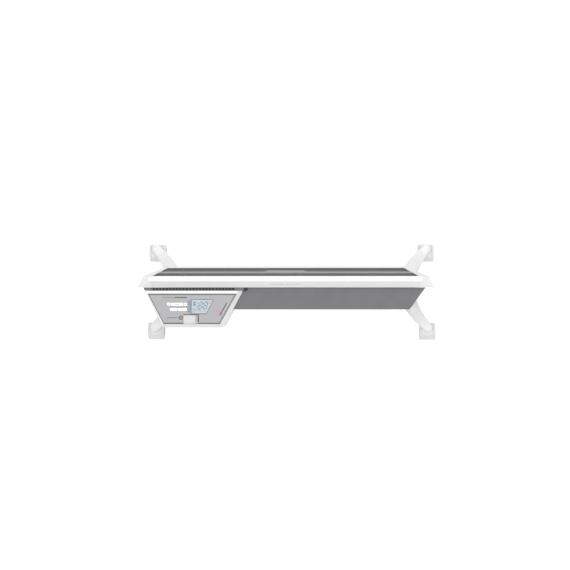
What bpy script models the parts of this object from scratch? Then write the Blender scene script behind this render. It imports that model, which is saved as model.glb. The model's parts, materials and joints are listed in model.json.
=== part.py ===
"""Panel convector heater on two arched legs with twin-wheel casters.

Metres, +Z up, floor at Z = 0. The long axis is X, the warm air leaves through the sloping front edge
of the top, which faces -Y, and the control unit hooks over the rear of the top, towards +X.
The origin is on the floor, at the middle of the whole object's footprint.
"""

import math

import bmesh
import bpy
from mathutils import Matrix, Vector

# Clearance between pieces that touch.
GAP = 0.0003

# The casters trail to the rear, so the body stands this far forward of the footprint's middle.
# Every other Y below is counted from the body's own middle.
BODY_SHIFT_Y = -0.0124

# Body: front casing, end caps and rear housing.
BODY_BOTTOM = 0.080
BODY_TOP = 0.480
FRONT_Y = -0.0605
FRONT_TOP = 0.447
RIDGE_FRONT_Y = -0.0328
RIDGE_REAR_Y = -0.0189
CASING_REAR_Y = -0.0014
CASING_REAR_TOP = 0.4626
CASING_FLANGE_BOTTOM = 0.438
CASING_LIP = 0.012
CASING_SHEET = 0.0010
FRONT_SEAM_X = 0.325
RIDGE_SEAM_X = 0.373

# Warm-air outlet in the front slope, and the divider bar across it.
OUTLET_FRONT_Y = -0.0555
OUTLET_REAR_Y = RIDGE_FRONT_Y - 0.0004
OUTLET_FRONT_X = 0.3300
OUTLET_REAR_X = 0.3692
DIVIDER_WIDTH = 0.0034
DIVIDER_CENTRE_WIDTH = 0.0105
DIVIDER_CENTRE_X = 0.052
DIVIDER_THICKNESS = 0.0035
MESH_THICKNESS = 0.001
MESH_SINK = 0.0042
MESH_HOLES = 20
MESH_ROW = 0.0085
MESH_HOLE_WIDTH = 0.009

# End caps: the corners of their outline from above, and the slopes of their top.
CAP_FRONT_X = 0.334
CAP_SIDE = (0.397, -0.034)
CAP_REAR_X = 0.415
CAP_SIDE_TOP = 0.468
CAP_SHOULDER_X = 0.380
CAP_SHOULDER_FALL = 0.70
CAP_WALL = 0.0025

# Rear housing.
HOUSING_FRONT_X = 0.390
HOUSING_REAR_X = 0.346
HOUSING_REAR_Y = 0.0597
HOUSING_TOP = 0.448
HOUSING_SHEET = 0.0010
HOUSING_SCREW_X = 0.325
HOUSING_SCREW_Z = (0.096, 0.330)
BRACKET_SLOT_X = 0.250
BRACKET_SLOT_Z = (0.185, 0.360)
BRACKET_SLOT = (0.014, 0.008)
WALL_PANEL_HALF_X = 0.300
WALL_PANEL_Z = (0.168, 0.376)
WALL_PANEL_RISE = 0.0012
WALL_PANEL_EDGE = 0.0010
INTAKE_SLOTS = 20
INTAKE_PITCH = 0.030
INTAKE_SIZE = (0.007, 0.036)
INTAKE_Z = 0.118

# Base plate.
BASE_THICKNESS = 0.0015
BASE_FRONT_Y = FRONT_Y + CASING_LIP + GAP
BASE_CHAMFER = 0.0277
BASE_SIDE_Y = 0.010
BASE_SLOTS = 13
BASE_SLOT_PITCH = 0.046
BASE_SLOT = (0.034, 0.014)
BASE_SLOT_ROWS = (-0.024, 0.036)

# Heating element and the pieces around it.
ELEMENT_Y = -0.022
ELEMENT_Z = 0.185
ELEMENT_LENGTH = 0.600
ELEMENT_ARM = 0.116
ELEMENT_SHEET = 0.002
ELEMENT_ANGLE = 16
ELEMENT_TUBE = 0.007
BRACKET_X = 0.312
BRACKET_SHEET = 0.0015
GUIDE_Y = 0.019
GUIDE_HALF_X = 0.335
GUIDE_Z = (0.105, 0.425)
GUIDE_SHEET = 0.001
CUTOUT_X = 0.180
CUTOUT_Z = 0.385
SENSOR_PLACE = (0.330, 0.026)
TILT_SWITCH = ((0.3225, 0.036), (0.3375, 0.050))
TILT_SWITCH_HEIGHT = 0.018

# Legs: bowed inwards in plan and arched from the side.
LEG_MIDDLE_X = 0.348
LEG_FRONT_END_X = 0.408
LEG_REAR_END_X = 0.413
LEG_END_Y = 0.119
LEG_END_RADIUS = 0.014
LEG_MIDDLE_HALF_WIDTH = 0.028
LEG_TOP_MIDDLE = BODY_BOTTOM - GAP
LEG_TOP_END = 0.0645
LEG_UNDER_MIDDLE = 0.0580
LEG_UNDER_END = 0.0498
LEG_SCREW_Y = 0.030
LEG_SCREW_SEAT = 0.066
LEG_RING = 12
LEG_HALF_STATIONS = 6

# Casters. The wheel axis trails behind the swivel axis.
WHEEL_RADIUS = 0.0205
CASTER_TRAIL = 0.013
HOOD_HALF_WIDTH = 0.025
HOOD_FRONT_Y = -0.013
HOOD_REAR_Y = 0.0385
HOOD_TOP = 0.046
HOOD_BOTTOM = 0.014
HOOD_WEB = 0.0055
HOOD_EDGE = 0.0035
WHEEL_CLEARANCE = 0.0017
WHEEL_INNER_X = 0.0061
WHEEL_OUTER_X = 0.0236
WHEEL_DISH = 0.0025
AXLE_RADIUS = 0.0025
STEM_RADIUS = 0.0035
STEM_BOTTOM = 0.0280
STEM_TOP = 0.0595
COLLAR_RADIUS = 0.0085
COLLAR = (0.0466, 0.0492)

# Control unit, which hooks over the rear top edge of the housing.
UNIT_OUTLINE = ((0.1178, 0.0068), (0.3955, 0.0068), (0.3425, 0.1105), (0.1735, 0.1105))
UNIT_CORNERS = (0.004, 0.003, 0.012, 0.012)
UNIT_TOP_OUTLINE = ((0.1300, 0.0080), (0.3915, 0.0080), (0.3435, 0.1012), (0.1800, 0.1012))
UNIT_TOP_CORNERS = (0.003, 0.002, 0.006, 0.006)
UNIT_TOP = 0.468
UNIT_RIM = 0.4565
UNIT_BOTTOM = 0.385
UNIT_FLOOR = HOUSING_TOP + GAP
UNIT_WALL = 0.0025
UNIT_HOOK_Y = HOUSING_REAR_Y + GAP
FASCIA_OUTLINE = ((0.137, 0.0175), (0.382, 0.0175), (0.339, 0.099), (0.182, 0.099))
FASCIA_TOP = 0.4665
FASCIA_THICKNESS = 0.0020
FASCIA_GROOVE = 0.0016
FASCIA_LEDGE = 0.004
VENT_TOP = 0.4560
VENT_THICKNESS = 0.0030
VENT_SLOTS = 25
VENT_FIRST_X = 0.146
VENT_LAST_X = 0.369
VENT_SLOT_WIDTH = 0.0052

# What shows on the control panel.
WINDOW_OUTLINE = ((0.201, 0.034), (0.260, 0.034), (0.261, 0.071), (0.220, 0.071))
LED_BAR = ((0.2645, 0.036), (0.2715, 0.068))
LED_COUNT = 5
LED_PITCH = 0.0069
LED_BAR_BOTTOM = 0.4600
LENS_RISE = 0.0006
LENS_INSET = 0.0008
LENS_HALF_Y = 0.0014
DISPLAY_MODULE = ((0.1985, 0.0300), (0.2625, 0.0710))
KEY_MAT = ((0.2735, 0.0380), (0.3330, 0.0665))
KEY_MAT_TOP = 0.4608
BOARD = ((0.1900, 0.0225), (0.3400, 0.0710))
BOARD_TOP = 0.4576
BOARD_THICKNESS = 0.0016
KEY_ROW_UPPER = (0.0408, 0.0500)
KEY_ROW_LOWER = (0.0555, 0.0643)
KEY_CLEARANCE = 0.0004
KEY_TOP = 0.4676
KEY_BOTTOM = 0.4622
KEYS = {
    "key_timer": ((0.3200, 0.3320), KEY_ROW_UPPER, 0.0035),
    "key_mode": ((0.2838, 0.3190), KEY_ROW_UPPER, 0.0),
    "key_lock": ((0.2736, 0.2828), KEY_ROW_UPPER, 0.0),
    "key_warmer": ((0.3006, 0.3240), KEY_ROW_LOWER, 0.0035),
    "key_cooler": ((0.2748, 0.2996), KEY_ROW_LOWER, 0.0),
}
MODULE_LOW = (0.243, 0.0755)
MODULE_HIGH = (0.284, 0.1000)
MODULE_CLEARANCE = 0.0005
MODULE_TOP = 0.4750
MODULE_BOTTOM = 0.4640
MODULE_SIDE_SLOPE = 0.0075
MODULE_PLUG = (0.012, 0.0045)
MODULE_PLUG_BOTTOM = 0.4460
SOCKET_SIZE = (0.020, 0.012)
SOCKET_BOTTOM = 0.4400
SOCKET_TOP = 0.4600

# Pieces in the floor of the unit: the cord's inlet and the lock screw.
GLAND_PLACE = (0.300, 0.086)
GLAND_NECK = 0.0065
UNIT_LOCK_X = 0.238
UNIT_LOCK_Y = 0.030

# Connector between the housing and the control unit.
CONNECTOR_X = 0.262
CONNECTOR_Z = 0.420
CONNECTOR_SIZE = (0.040, 0.022)

# Screws, as head radius, head height, shank radius and shank length.
CASING_SCREW = (0.0040, 0.0022, 0.0018, 0.0080)
LEG_SCREW = (0.0046, 0.0030, 0.0022, 0.0200)
UNIT_SCREW = (0.0030, 0.0018, 0.0013, 0.0070)
SCREW_STEPS = 8
ROUND_STEPS = 16

# Each finish is a colour, a roughness and how metallic it is.
WHITE_ENAMEL = ((0.90, 0.90, 0.90), 0.32, 0.0)
WHITE_PLASTIC = ((0.86, 0.86, 0.85), 0.42, 0.0)
PALE_GREY_PLASTIC = ((0.66, 0.66, 0.67), 0.50, 0.0)
SILVER_PANEL = ((0.52, 0.52, 0.54), 0.38, 0.1)
DARK_GREY_PLASTIC = ((0.12, 0.12, 0.12), 0.55, 0.0)
GREY_STEEL = ((0.23, 0.23, 0.24), 0.42, 0.6)
GALVANISED = ((0.55, 0.56, 0.57), 0.40, 0.9)
ALUMINIUM = ((0.75, 0.75, 0.76), 0.35, 1.0)
BRIGHT_STEEL = ((0.62, 0.62, 0.63), 0.28, 1.0)
BLACK_RUBBER = ((0.03, 0.03, 0.03), 0.75, 0.0)
CERAMIC = ((0.82, 0.80, 0.75), 0.45, 0.0)
CIRCUIT_GREEN = ((0.03, 0.20, 0.09), 0.50, 0.0)
DISPLAY_GLASS = ((0.72, 0.86, 0.88), 0.08, 0.0)
LED_BLUE = ((0.25, 0.48, 0.72), 0.30, 0.0)

parts = None
cutters = None
heater = None


def clear_scene():
    for obj in list(bpy.data.objects):
        bpy.data.objects.remove(obj, do_unlink=True)
    for collection in list(bpy.data.collections):
        bpy.data.collections.remove(collection)


def new_collection(name):
    collection = bpy.data.collections.new(name)
    bpy.context.scene.collection.children.link(collection)
    return collection


def new_empty(name, location, parent=None):
    empty = bpy.data.objects.new(name, None)
    empty.empty_display_size = 0.03
    empty.location = location
    empty.parent = parent
    parts.objects.link(empty)
    return empty


def add_part(name, mesh, finish, location=(0, 0, 0), parent=None):
    """One sub-part with its own material, placed under the heater or another parent."""
    colour, roughness, metallic = finish
    material = bpy.data.materials.new(name)
    material.use_nodes = True
    shader = material.node_tree.nodes["Principled BSDF"]
    shader.inputs["Base Color"].default_value = (*colour, 1.0)
    shader.inputs["Roughness"].default_value = roughness
    shader.inputs["Metallic"].default_value = metallic
    mesh.name = name
    mesh.materials.clear()
    mesh.materials.append(material)
    obj = bpy.data.objects.new(name, mesh)
    obj.location = location
    obj.parent = parent or heater
    parts.objects.link(obj)
    return obj


def add_cutter(name, mesh, parent=None):
    obj = bpy.data.objects.new(name, mesh)
    obj.hide_render = True
    obj.display_type = "WIRE"
    obj.parent = parent or heater
    cutters.objects.link(obj)
    return obj


def boolean(obj, other, operation="DIFFERENCE"):
    modifier = obj.modifiers.new(other.name, "BOOLEAN")
    modifier.operation = operation
    modifier.object = other


def smooth(mesh, degrees=35):
    mesh.shade_smooth()
    mesh.set_sharp_from_angle(angle=math.radians(degrees))
    return mesh


def evaluated_mesh(obj):
    """The object's shape with its modifiers applied; the object itself is removed."""
    bpy.context.scene.collection.objects.link(obj)
    bpy.context.view_layer.update()
    graph = bpy.context.evaluated_depsgraph_get()
    mesh = bpy.data.meshes.new_from_object(obj.evaluated_get(graph))
    bpy.data.objects.remove(obj, do_unlink=True)
    work = bmesh.new()
    work.from_mesh(mesh)
    bmesh.ops.remove_doubles(work, verts=work.verts, dist=1e-6)
    work.to_mesh(mesh)
    work.free()
    return mesh


def finished(work, name="shape"):
    mesh = bpy.data.meshes.new(name)
    work.to_mesh(mesh)
    work.free()
    return mesh


def joined(pieces):
    """One mesh of several separate solids, each given as (mesh, matrix)."""
    work = bmesh.new()
    for mesh, matrix in pieces:
        copy = mesh.copy()
        copy.transform(matrix)
        work.from_mesh(copy)
        bpy.data.meshes.remove(copy)
    return finished(work)


def boxes(corners):
    """Separate boxes, each given as its (lowest, highest) corner."""
    work = bmesh.new()
    for low, high in corners:
        low, high = Vector(low), Vector(high)
        middle = Matrix.Translation((low + high) / 2)
        size = Matrix.Diagonal((*(high - low), 1.0))
        bmesh.ops.create_cube(work, size=1.0, matrix=middle @ size)
    return finished(work)


def box(low, high, edge=0.0):
    mesh = boxes([(low, high)])
    if not edge:
        return mesh
    obj = bpy.data.objects.new("box", mesh)
    bevel = obj.modifiers.new("edge", "BEVEL")
    bevel.width = edge
    bevel.segments = 2
    return smooth(evaluated_mesh(obj))


def rod(radius, start, end, steps=ROUND_STEPS):
    """A cylinder from start to end."""
    start, end = Vector(start), Vector(end)
    work = bmesh.new()
    turn = (end - start).to_track_quat("Z", "Y").to_matrix().to_4x4()
    place = Matrix.Translation((start + end) / 2) @ turn
    length = (end - start).length
    bmesh.ops.create_cone(
        work, cap_ends=True, segments=steps, radius1=radius, radius2=radius, depth=length, matrix=place
    )
    return smooth(finished(work))


def turned(profile, steps=ROUND_STEPS, closed=False):
    """A solid of revolution about Z from (radius, height) points that run down the outer side."""
    work = bmesh.new()
    points = [work.verts.new((radius, 0, height)) for radius, height in profile]
    for first, second in zip(points, points[1:]):
        work.edges.new((first, second))
    if closed:
        work.edges.new((points[-1], points[0]))
    obj = bpy.data.objects.new("turned", finished(work))
    screw = obj.modifiers.new("turn", "SCREW")
    screw.steps = steps
    screw.render_steps = steps
    screw.use_merge_vertices = True
    screw.merge_threshold = 1e-5
    return smooth(evaluated_mesh(obj))


def rounded(points, radii, steps=3):
    """The outline with each corner turned into an arc of its radius."""
    outline = []
    count = len(points)
    for index, radius in enumerate(radii):
        here = Vector(points[index])
        back = (Vector(points[index - 1]) - here).normalized()
        ahead = (Vector(points[(index + 1) % count]) - here).normalized()
        if not radius:
            outline.append(tuple(here))
            continue
        half = back.angle(ahead) / 2
        centre = here + (back + ahead).normalized() * (radius / math.sin(half))
        start = here + back * (radius / math.tan(half)) - centre
        end = here + ahead * (radius / math.tan(half)) - centre
        sweep = start.angle_signed(end)
        for step in range(steps + 1):
            turn = Matrix.Rotation(-sweep * step / steps, 2)
            outline.append(tuple(centre + turn @ start))
    return outline


def inset(points, distance):
    """The anticlockwise outline moved inwards by distance, or outwards where it is negative."""
    moved = []
    count = len(points)
    for index in range(count):
        here = Vector(points[index])
        first = (here - Vector(points[index - 1])).normalized()
        second = (Vector(points[(index + 1) % count]) - here).normalized()
        first, second = Vector((-first.y, first.x)), Vector((-second.y, second.x))
        moved.append(tuple(here + (first + second) * (distance / (1 + first.dot(second)))))
    return moved


def slab(points, low, high):
    """A flat outline in XY, filled from height low to height high."""
    curve = bpy.data.curves.new("outline", "CURVE")
    curve.dimensions = "2D"
    curve.fill_mode = "BOTH"
    curve.extrude = (high - low) / 2
    spline = curve.splines.new("POLY")
    spline.points.add(len(points) - 1)
    for point, (x, y) in zip(spline.points, points):
        point.co = (x, y, 0, 1)
    spline.use_cyclic_u = True
    mesh = evaluated_mesh(bpy.data.objects.new("outline", curve))
    mesh.transform(Matrix.Translation((0, 0, (low + high) / 2)))
    return mesh


def lofted(bottom, top, low, high):
    """A solid between two flat outlines that have as many points each."""
    work = bmesh.new()
    under = [work.verts.new((x, y, low)) for x, y in bottom]
    over = [work.verts.new((x, y, high)) for x, y in top]
    for index, point in enumerate(under):
        work.faces.new((under[index - 1], point, over[index], over[index - 1]))
    work.faces.new(under)
    work.faces.new(over)
    bmesh.ops.recalc_face_normals(work, faces=work.faces)
    return finished(work)


def side_slab(points, low, high):
    """A flat outline in YZ, filled from X = low to X = high."""
    mesh = slab(points, low, high)
    mesh.transform(Matrix(((0, 0, 1, 0), (1, 0, 0, 0), (0, 1, 0, 0), (0, 0, 0, 1))))
    return mesh


def swept_sheet(profile, low, high, outward):
    """Bent sheet: an open YZ profile drawn along X, whose first strip faces outward."""
    work = bmesh.new()
    points = [work.verts.new((low, y, z)) for y, z in profile]
    edges = [work.edges.new(pair) for pair in zip(points, points[1:])]
    made = bmesh.ops.extrude_edge_only(work, edges=edges)["geom"]
    ends = [item for item in made if isinstance(item, bmesh.types.BMVert)]
    bmesh.ops.translate(work, verts=ends, vec=(high - low, 0, 0))
    work.normal_update()
    if edges[0].link_faces[0].normal.dot(Vector(outward)) < 0:
        bmesh.ops.reverse_faces(work, faces=work.faces)
    return work


def solidified(work, thickness):
    """The open surface in work given a thickness on its inner side."""
    obj = bpy.data.objects.new("sheet", finished(work))
    solid = obj.modifiers.new("thickness", "SOLIDIFY")
    solid.thickness = thickness
    solid.offset = -1
    solid.use_even_offset = True
    return evaluated_mesh(obj)


def add_screws(names, size, places):
    """Pan-head screws, each given as the place under its head and the way its head points."""
    head, height, shank, length = size
    profile = [
        (0, height),
        (head * 0.75, height),
        (head, height * 0.4),
        (head, 0),
        (shank, 0),
        (shank, -length),
        (0, -length),
    ]
    mesh = turned(profile, SCREW_STEPS)
    for name, (place, way) in zip(names, places):
        screw = add_part(name, mesh.copy(), BRIGHT_STEEL, Vector(place) + Vector(way) * GAP)
        screw.rotation_mode = "QUATERNION"
        screw.rotation_quaternion = Vector(way).to_track_quat("Z", "Y")


def screw_holes(size, places):
    """Cutters for the screws' shanks, which run from outside the wall to past the shank's end."""
    pieces = []
    for place, way in places:
        place, way = Vector(place), Vector(way)
        hole = rod(size[2] + GAP, place + way * 0.004, place - way * (size[3] + 0.001), SCREW_STEPS)
        pieces.append((hole, Matrix.Identity(4)))
    return joined(pieces)


# ---- Body ---------------------------------------------------------------------------------------


def front_slope(y, sink=0.0):
    """Height of the front slope at y, or of the plane that lies sink below it."""
    rise = (BODY_TOP - FRONT_TOP) / (RIDGE_FRONT_Y - FRONT_Y)
    return FRONT_TOP + (y - FRONT_Y) * rise - sink * math.hypot(1, rise)


def outlet_half_x(y):
    """Half the length of the warm-air outlet at y."""
    share = (y - OUTLET_FRONT_Y) / (OUTLET_REAR_Y - OUTLET_FRONT_Y)
    return OUTLET_FRONT_X + share * (OUTLET_REAR_X - OUTLET_FRONT_X)


def front_casing():
    """The white sheet front: lip, front, slope with the outlet, ridge, rear slope and flange."""
    profile = [
        (FRONT_Y + CASING_LIP, BODY_BOTTOM),
        (FRONT_Y, BODY_BOTTOM),
        (FRONT_Y, FRONT_TOP),
        (RIDGE_FRONT_Y, BODY_TOP),
        (RIDGE_REAR_Y, BODY_TOP),
        (CASING_REAR_Y, CASING_REAR_TOP),
        (CASING_REAR_Y, CASING_FLANGE_BOTTOM),
    ]
    work = swept_sheet(profile, -RIDGE_SEAM_X, RIDGE_SEAM_X, (0, 0, -1))
    for side in (-1, 1):
        along = Vector((side * (RIDGE_SEAM_X - FRONT_SEAM_X), RIDGE_FRONT_Y - FRONT_Y, 0))
        bmesh.ops.bisect_plane(
            work,
            geom=work.verts[:] + work.edges[:] + work.faces[:],
            plane_co=(side * FRONT_SEAM_X, FRONT_Y, 0),
            plane_no=(side * along.y, -side * along.x, 0),
            clear_outer=True,
        )
    casing = add_part("front_casing", solidified(work, CASING_SHEET), WHITE_ENAMEL)
    opening = [
        (-OUTLET_FRONT_X, OUTLET_FRONT_Y),
        (OUTLET_FRONT_X, OUTLET_FRONT_Y),
        (OUTLET_REAR_X, OUTLET_REAR_Y),
        (-OUTLET_REAR_X, OUTLET_REAR_Y),
    ]
    boolean(casing, add_cutter("outlet_cutter", slab(opening, FRONT_TOP - 0.020, BODY_TOP + 0.020)))


def slope_plate(name, low_y, high_y, thickness, sink, finish, outline):
    """A flat piece parallel to the front slope, with its top face sink below the slope."""
    rise = (BODY_TOP - FRONT_TOP) / (RIDGE_FRONT_Y - FRONT_Y)
    angle = math.atan(rise)
    stretch = math.hypot(1, rise)
    middle = (low_y + high_y) / 2
    flat = [(x, (y - middle) * stretch) for x, y in outline]
    mesh = slab(flat, -thickness, 0)
    turn = Matrix.Rotation(angle, 4, "X")
    mesh.transform(Matrix.Translation((0, middle, front_slope(middle, sink))) @ turn)
    return add_part(name, mesh, finish)


def outlet_mesh():
    """The perforated strip behind the outlet, with one row of holes on each side of the divider."""
    low, high = OUTLET_FRONT_Y + 0.0005, OUTLET_REAR_Y - 0.0012
    outline = [
        (-outlet_half_x(low), low),
        (outlet_half_x(low), low),
        (outlet_half_x(high), high),
        (-outlet_half_x(high), high),
    ]
    strip = slope_plate("outlet_mesh", low, high, MESH_THICKNESS, MESH_SINK, GALVANISED, outline)
    middle = (low + high) / 2
    rise = (BODY_TOP - FRONT_TOP) / (RIDGE_FRONT_Y - FRONT_Y)
    pitch = 2 * (outlet_half_x(low) - 0.006) / MESH_HOLES
    holes = []
    for row in (-1, 1):
        for index in range(MESH_HOLES):
            x = (index - (MESH_HOLES - 1) / 2) * pitch
            y = row * MESH_ROW
            half_x, half_y = pitch * 0.36, MESH_HOLE_WIDTH / 2
            holes.append(((x - half_x, y - half_y, -0.004), (x + half_x, y + half_y, 0.004)))
    cutter = boxes(holes)
    tilt = Matrix.Rotation(math.atan(rise), 4, "X")
    cutter.transform(Matrix.Translation((0, middle, front_slope(middle, MESH_SINK))) @ tilt)
    boolean(strip, add_cutter("outlet_mesh_holes", cutter))


def grille_divider():
    """The bar between the two strips, wider in the middle, with slanted shoulders."""
    middle = (OUTLET_FRONT_Y + OUTLET_REAR_Y) / 2
    low, high = middle - DIVIDER_WIDTH / 2, middle + DIVIDER_WIDTH / 2
    front = middle + DIVIDER_WIDTH / 2 - DIVIDER_CENTRE_WIDTH * 0.7
    shoulder = DIVIDER_CENTRE_X + (low - front)
    outline = [
        (-outlet_half_x(low) + GAP, low),
        (-shoulder, low),
        (-DIVIDER_CENTRE_X, front),
        (DIVIDER_CENTRE_X, front),
        (shoulder, low),
        (outlet_half_x(low) - GAP, low),
        (outlet_half_x(high) - GAP, high),
        (-outlet_half_x(high) + GAP, high),
    ]
    slope_plate("grille_divider", low, high, DIVIDER_THICKNESS, 0.0003, PALE_GREY_PLASTIC, outline)


def cap_outline(side):
    """Outline of an end cap from above, anticlockwise for the right-hand cap."""
    points = [
        (FRONT_SEAM_X, FRONT_Y),
        (CAP_FRONT_X, FRONT_Y),
        CAP_SIDE,
        (CAP_REAR_X, CASING_REAR_Y),
        (RIDGE_SEAM_X, CASING_REAR_Y),
        (RIDGE_SEAM_X, RIDGE_FRONT_Y),
    ]
    return [(side * x, y) for x, y in points]


def end_cap(name, side):
    """A moulded wing: its outline raised, its top faceted, opened at the seam and given a wall."""
    work = bmesh.new()
    work.from_mesh(slab(cap_outline(side), BODY_BOTTOM, BODY_TOP))
    seam_start = Vector((side * FRONT_SEAM_X, FRONT_Y, FRONT_TOP))
    seam_end = Vector((side * RIDGE_SEAM_X, RIDGE_FRONT_Y, BODY_TOP))
    corner = Vector((side * CAP_SIDE[0], CAP_SIDE[1], CAP_SIDE_TOP))
    front = (seam_end - seam_start).cross(corner - seam_start)
    front = front if front.z > 0 else -front
    rear_fall = (BODY_TOP - CASING_REAR_TOP) / (CASING_REAR_Y - RIDGE_REAR_Y)
    facets = [
        (seam_start, front),
        (Vector((side * CAP_SHOULDER_X, 0, BODY_TOP)), Vector((side * CAP_SHOULDER_FALL, 0, 1))),
        (Vector((0, RIDGE_REAR_Y, BODY_TOP)), Vector((0, rear_fall, 1))),
    ]
    for place, normal in facets:
        cut = bmesh.ops.bisect_plane(
            work,
            geom=work.verts[:] + work.edges[:] + work.faces[:],
            plane_co=place,
            plane_no=normal,
            clear_outer=True,
        )["geom_cut"]
        edges = [item for item in cut if isinstance(item, bmesh.types.BMEdge)]
        bmesh.ops.holes_fill(work, edges=edges, sides=0)
    bmesh.ops.recalc_face_normals(work, faces=work.faces)
    along = Vector((side * (RIDGE_SEAM_X - FRONT_SEAM_X), RIDGE_FRONT_Y - FRONT_Y, 0)).normalized()
    across = Vector((-along.y, along.x, 0))
    seams = []
    for face in work.faces:
        middle = face.calc_center_median()
        on_slant = abs((middle - seam_start).dot(across)) < 1e-5
        on_end = abs(middle.x - side * RIDGE_SEAM_X) < 1e-5
        if abs(face.normal.z) < 0.01 and (on_slant or on_end):
            seams.append(face)
    bmesh.ops.delete(work, geom=seams, context="FACES")
    cap = add_part(name, solidified(work, CAP_WALL), WHITE_PLASTIC)
    casing_side = [
        (-FRONT_SEAM_X, FRONT_Y - 0.020),
        (FRONT_SEAM_X - 0.020 * along.x / along.y * side + GAP, FRONT_Y - 0.020),
        (RIDGE_SEAM_X + GAP, RIDGE_FRONT_Y),
        (RIDGE_SEAM_X + GAP, CASING_REAR_Y + 0.020),
        (-FRONT_SEAM_X, CASING_REAR_Y + 0.020),
    ]
    casing_side = [(side * x, y) for x, y in casing_side]
    boolean(cap, add_cutter(name + "_trim", slab(casing_side, BODY_BOTTOM - 0.01, BODY_TOP + 0.01)))


def housing_outline():
    """Outline of the rear housing from above, anticlockwise."""
    front = CASING_REAR_Y + GAP
    return [
        (-HOUSING_FRONT_X, front),
        (HOUSING_FRONT_X, front),
        (HOUSING_REAR_X, HOUSING_REAR_Y),
        (-HOUSING_REAR_X, HOUSING_REAR_Y),
    ]


def housing_screw_places():
    """Four screws in the back wall, the first two low down."""
    spots = [(x, z) for z in HOUSING_SCREW_Z for x in (-HOUSING_SCREW_X, HOUSING_SCREW_X)]
    return [((x, HOUSING_REAR_Y, z), (0, 1, 0)) for x, z in spots]


def rear_housing():
    """Tapered steel box, open to the front and below, with a pressed-out panel that meets the wall."""
    work = bmesh.new()
    work.from_mesh(slab(housing_outline(), BODY_BOTTOM, HOUSING_TOP))
    bmesh.ops.recalc_face_normals(work, faces=work.faces)
    open_faces = [face for face in work.faces if face.normal.y < -0.9 or face.normal.z < -0.9]
    bmesh.ops.delete(work, geom=open_faces, context="FACES")
    housing = add_part("rear_housing", solidified(work, HOUSING_SHEET), GREY_STEEL)
    front = CASING_REAR_Y + GAP
    trim = boxes([((-0.5, front - 0.02, 0.0), (0.5, front, 0.5))])
    boolean(housing, add_cutter("housing_front_trim", trim))
    low_z, high_z = WALL_PANEL_Z
    half_x = WALL_PANEL_HALF_X
    face = HOUSING_REAR_Y + WALL_PANEL_RISE
    raised = box((-half_x, face - 0.0030, low_z), (half_x, face, high_z), WALL_PANEL_EDGE)
    boolean(housing, add_cutter("wall_panel", raised), "UNION")
    rim = WALL_PANEL_EDGE + HOUSING_SHEET
    inner = face - HOUSING_SHEET
    pressed = boxes([((rim - half_x, inner - 0.0050, low_z + rim), (half_x - rim, inner, high_z - rim))])
    boolean(housing, add_cutter("wall_panel_back", pressed))
    depth = (HOUSING_REAR_Y - 0.010, HOUSING_REAR_Y + 0.010)
    width, height = INTAKE_SIZE
    openings = []
    for index in range(INTAKE_SLOTS):
        x = (index - (INTAKE_SLOTS - 1) / 2) * INTAKE_PITCH
        openings.append(((x - width / 2, depth[0], INTAKE_Z), (x + width / 2, depth[1], INTAKE_Z + height)))
    width, height = BRACKET_SLOT
    for x in (-BRACKET_SLOT_X, BRACKET_SLOT_X):
        for z in BRACKET_SLOT_Z:
            low = (x - width / 2, depth[0], z - height / 2)
            openings.append((low, (x + width / 2, depth[1], z + height / 2)))
    openings.append(connector_hole(depth))
    boolean(housing, add_cutter("housing_slots", boxes(openings)))
    boolean(housing, add_cutter("housing_holes", screw_holes(CASING_SCREW, housing_screw_places())))
    corners = ("lower_left", "lower_right", "upper_left", "upper_right")
    add_screws([f"housing_screw_{corner}" for corner in corners], CASING_SCREW, housing_screw_places())


def base_outline():
    """Outline of the base plate: inside the casing's lip, the end caps and the housing's walls."""
    wall = (HOUSING_SHEET + GAP) * 1.25
    taper = (HOUSING_FRONT_X - HOUSING_REAR_X) / (HOUSING_REAR_Y - CASING_REAR_Y)
    rear_y = HOUSING_REAR_Y - HOUSING_SHEET - GAP
    shoulder = RIDGE_SEAM_X - GAP
    right = [
        (RIDGE_SEAM_X - BASE_CHAMFER, BASE_FRONT_Y),
        (shoulder, RIDGE_FRONT_Y),
        (shoulder, CASING_REAR_Y),
    ]
    for y in (BASE_SIDE_Y, rear_y):
        right.append((HOUSING_FRONT_X - wall - taper * (y - CASING_REAR_Y), y))
    return right + [(-x, y) for x, y in reversed(right)]


def leg_screw_places():
    places = []
    for side in (-1, 1):
        for y in (-LEG_SCREW_Y, LEG_SCREW_Y):
            places.append(((side * leg_centre_x(y), y, LEG_SCREW_SEAT), (0, 0, -1)))
    return places


def base_plate():
    """Bottom plate with rows of air slots; the legs screw up into it."""
    sheet = slab(base_outline(), BODY_BOTTOM, BODY_BOTTOM + BASE_THICKNESS)
    plate = add_part("base_plate", sheet, GALVANISED)
    length, width = BASE_SLOT
    openings = []
    for y in BASE_SLOT_ROWS:
        for index in range(BASE_SLOTS):
            x = (index - (BASE_SLOTS - 1) / 2) * BASE_SLOT_PITCH
            low = (x - length / 2, y - width / 2, BODY_BOTTOM - 0.005)
            openings.append((low, (x + length / 2, y + width / 2, BODY_BOTTOM + 0.010)))
    boolean(plate, add_cutter("base_slots", boxes(openings)))
    boolean(plate, add_cutter("base_holes", screw_holes(LEG_SCREW, leg_screw_places())))


# ---- Inside the body ----------------------------------------------------------------------------


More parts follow.
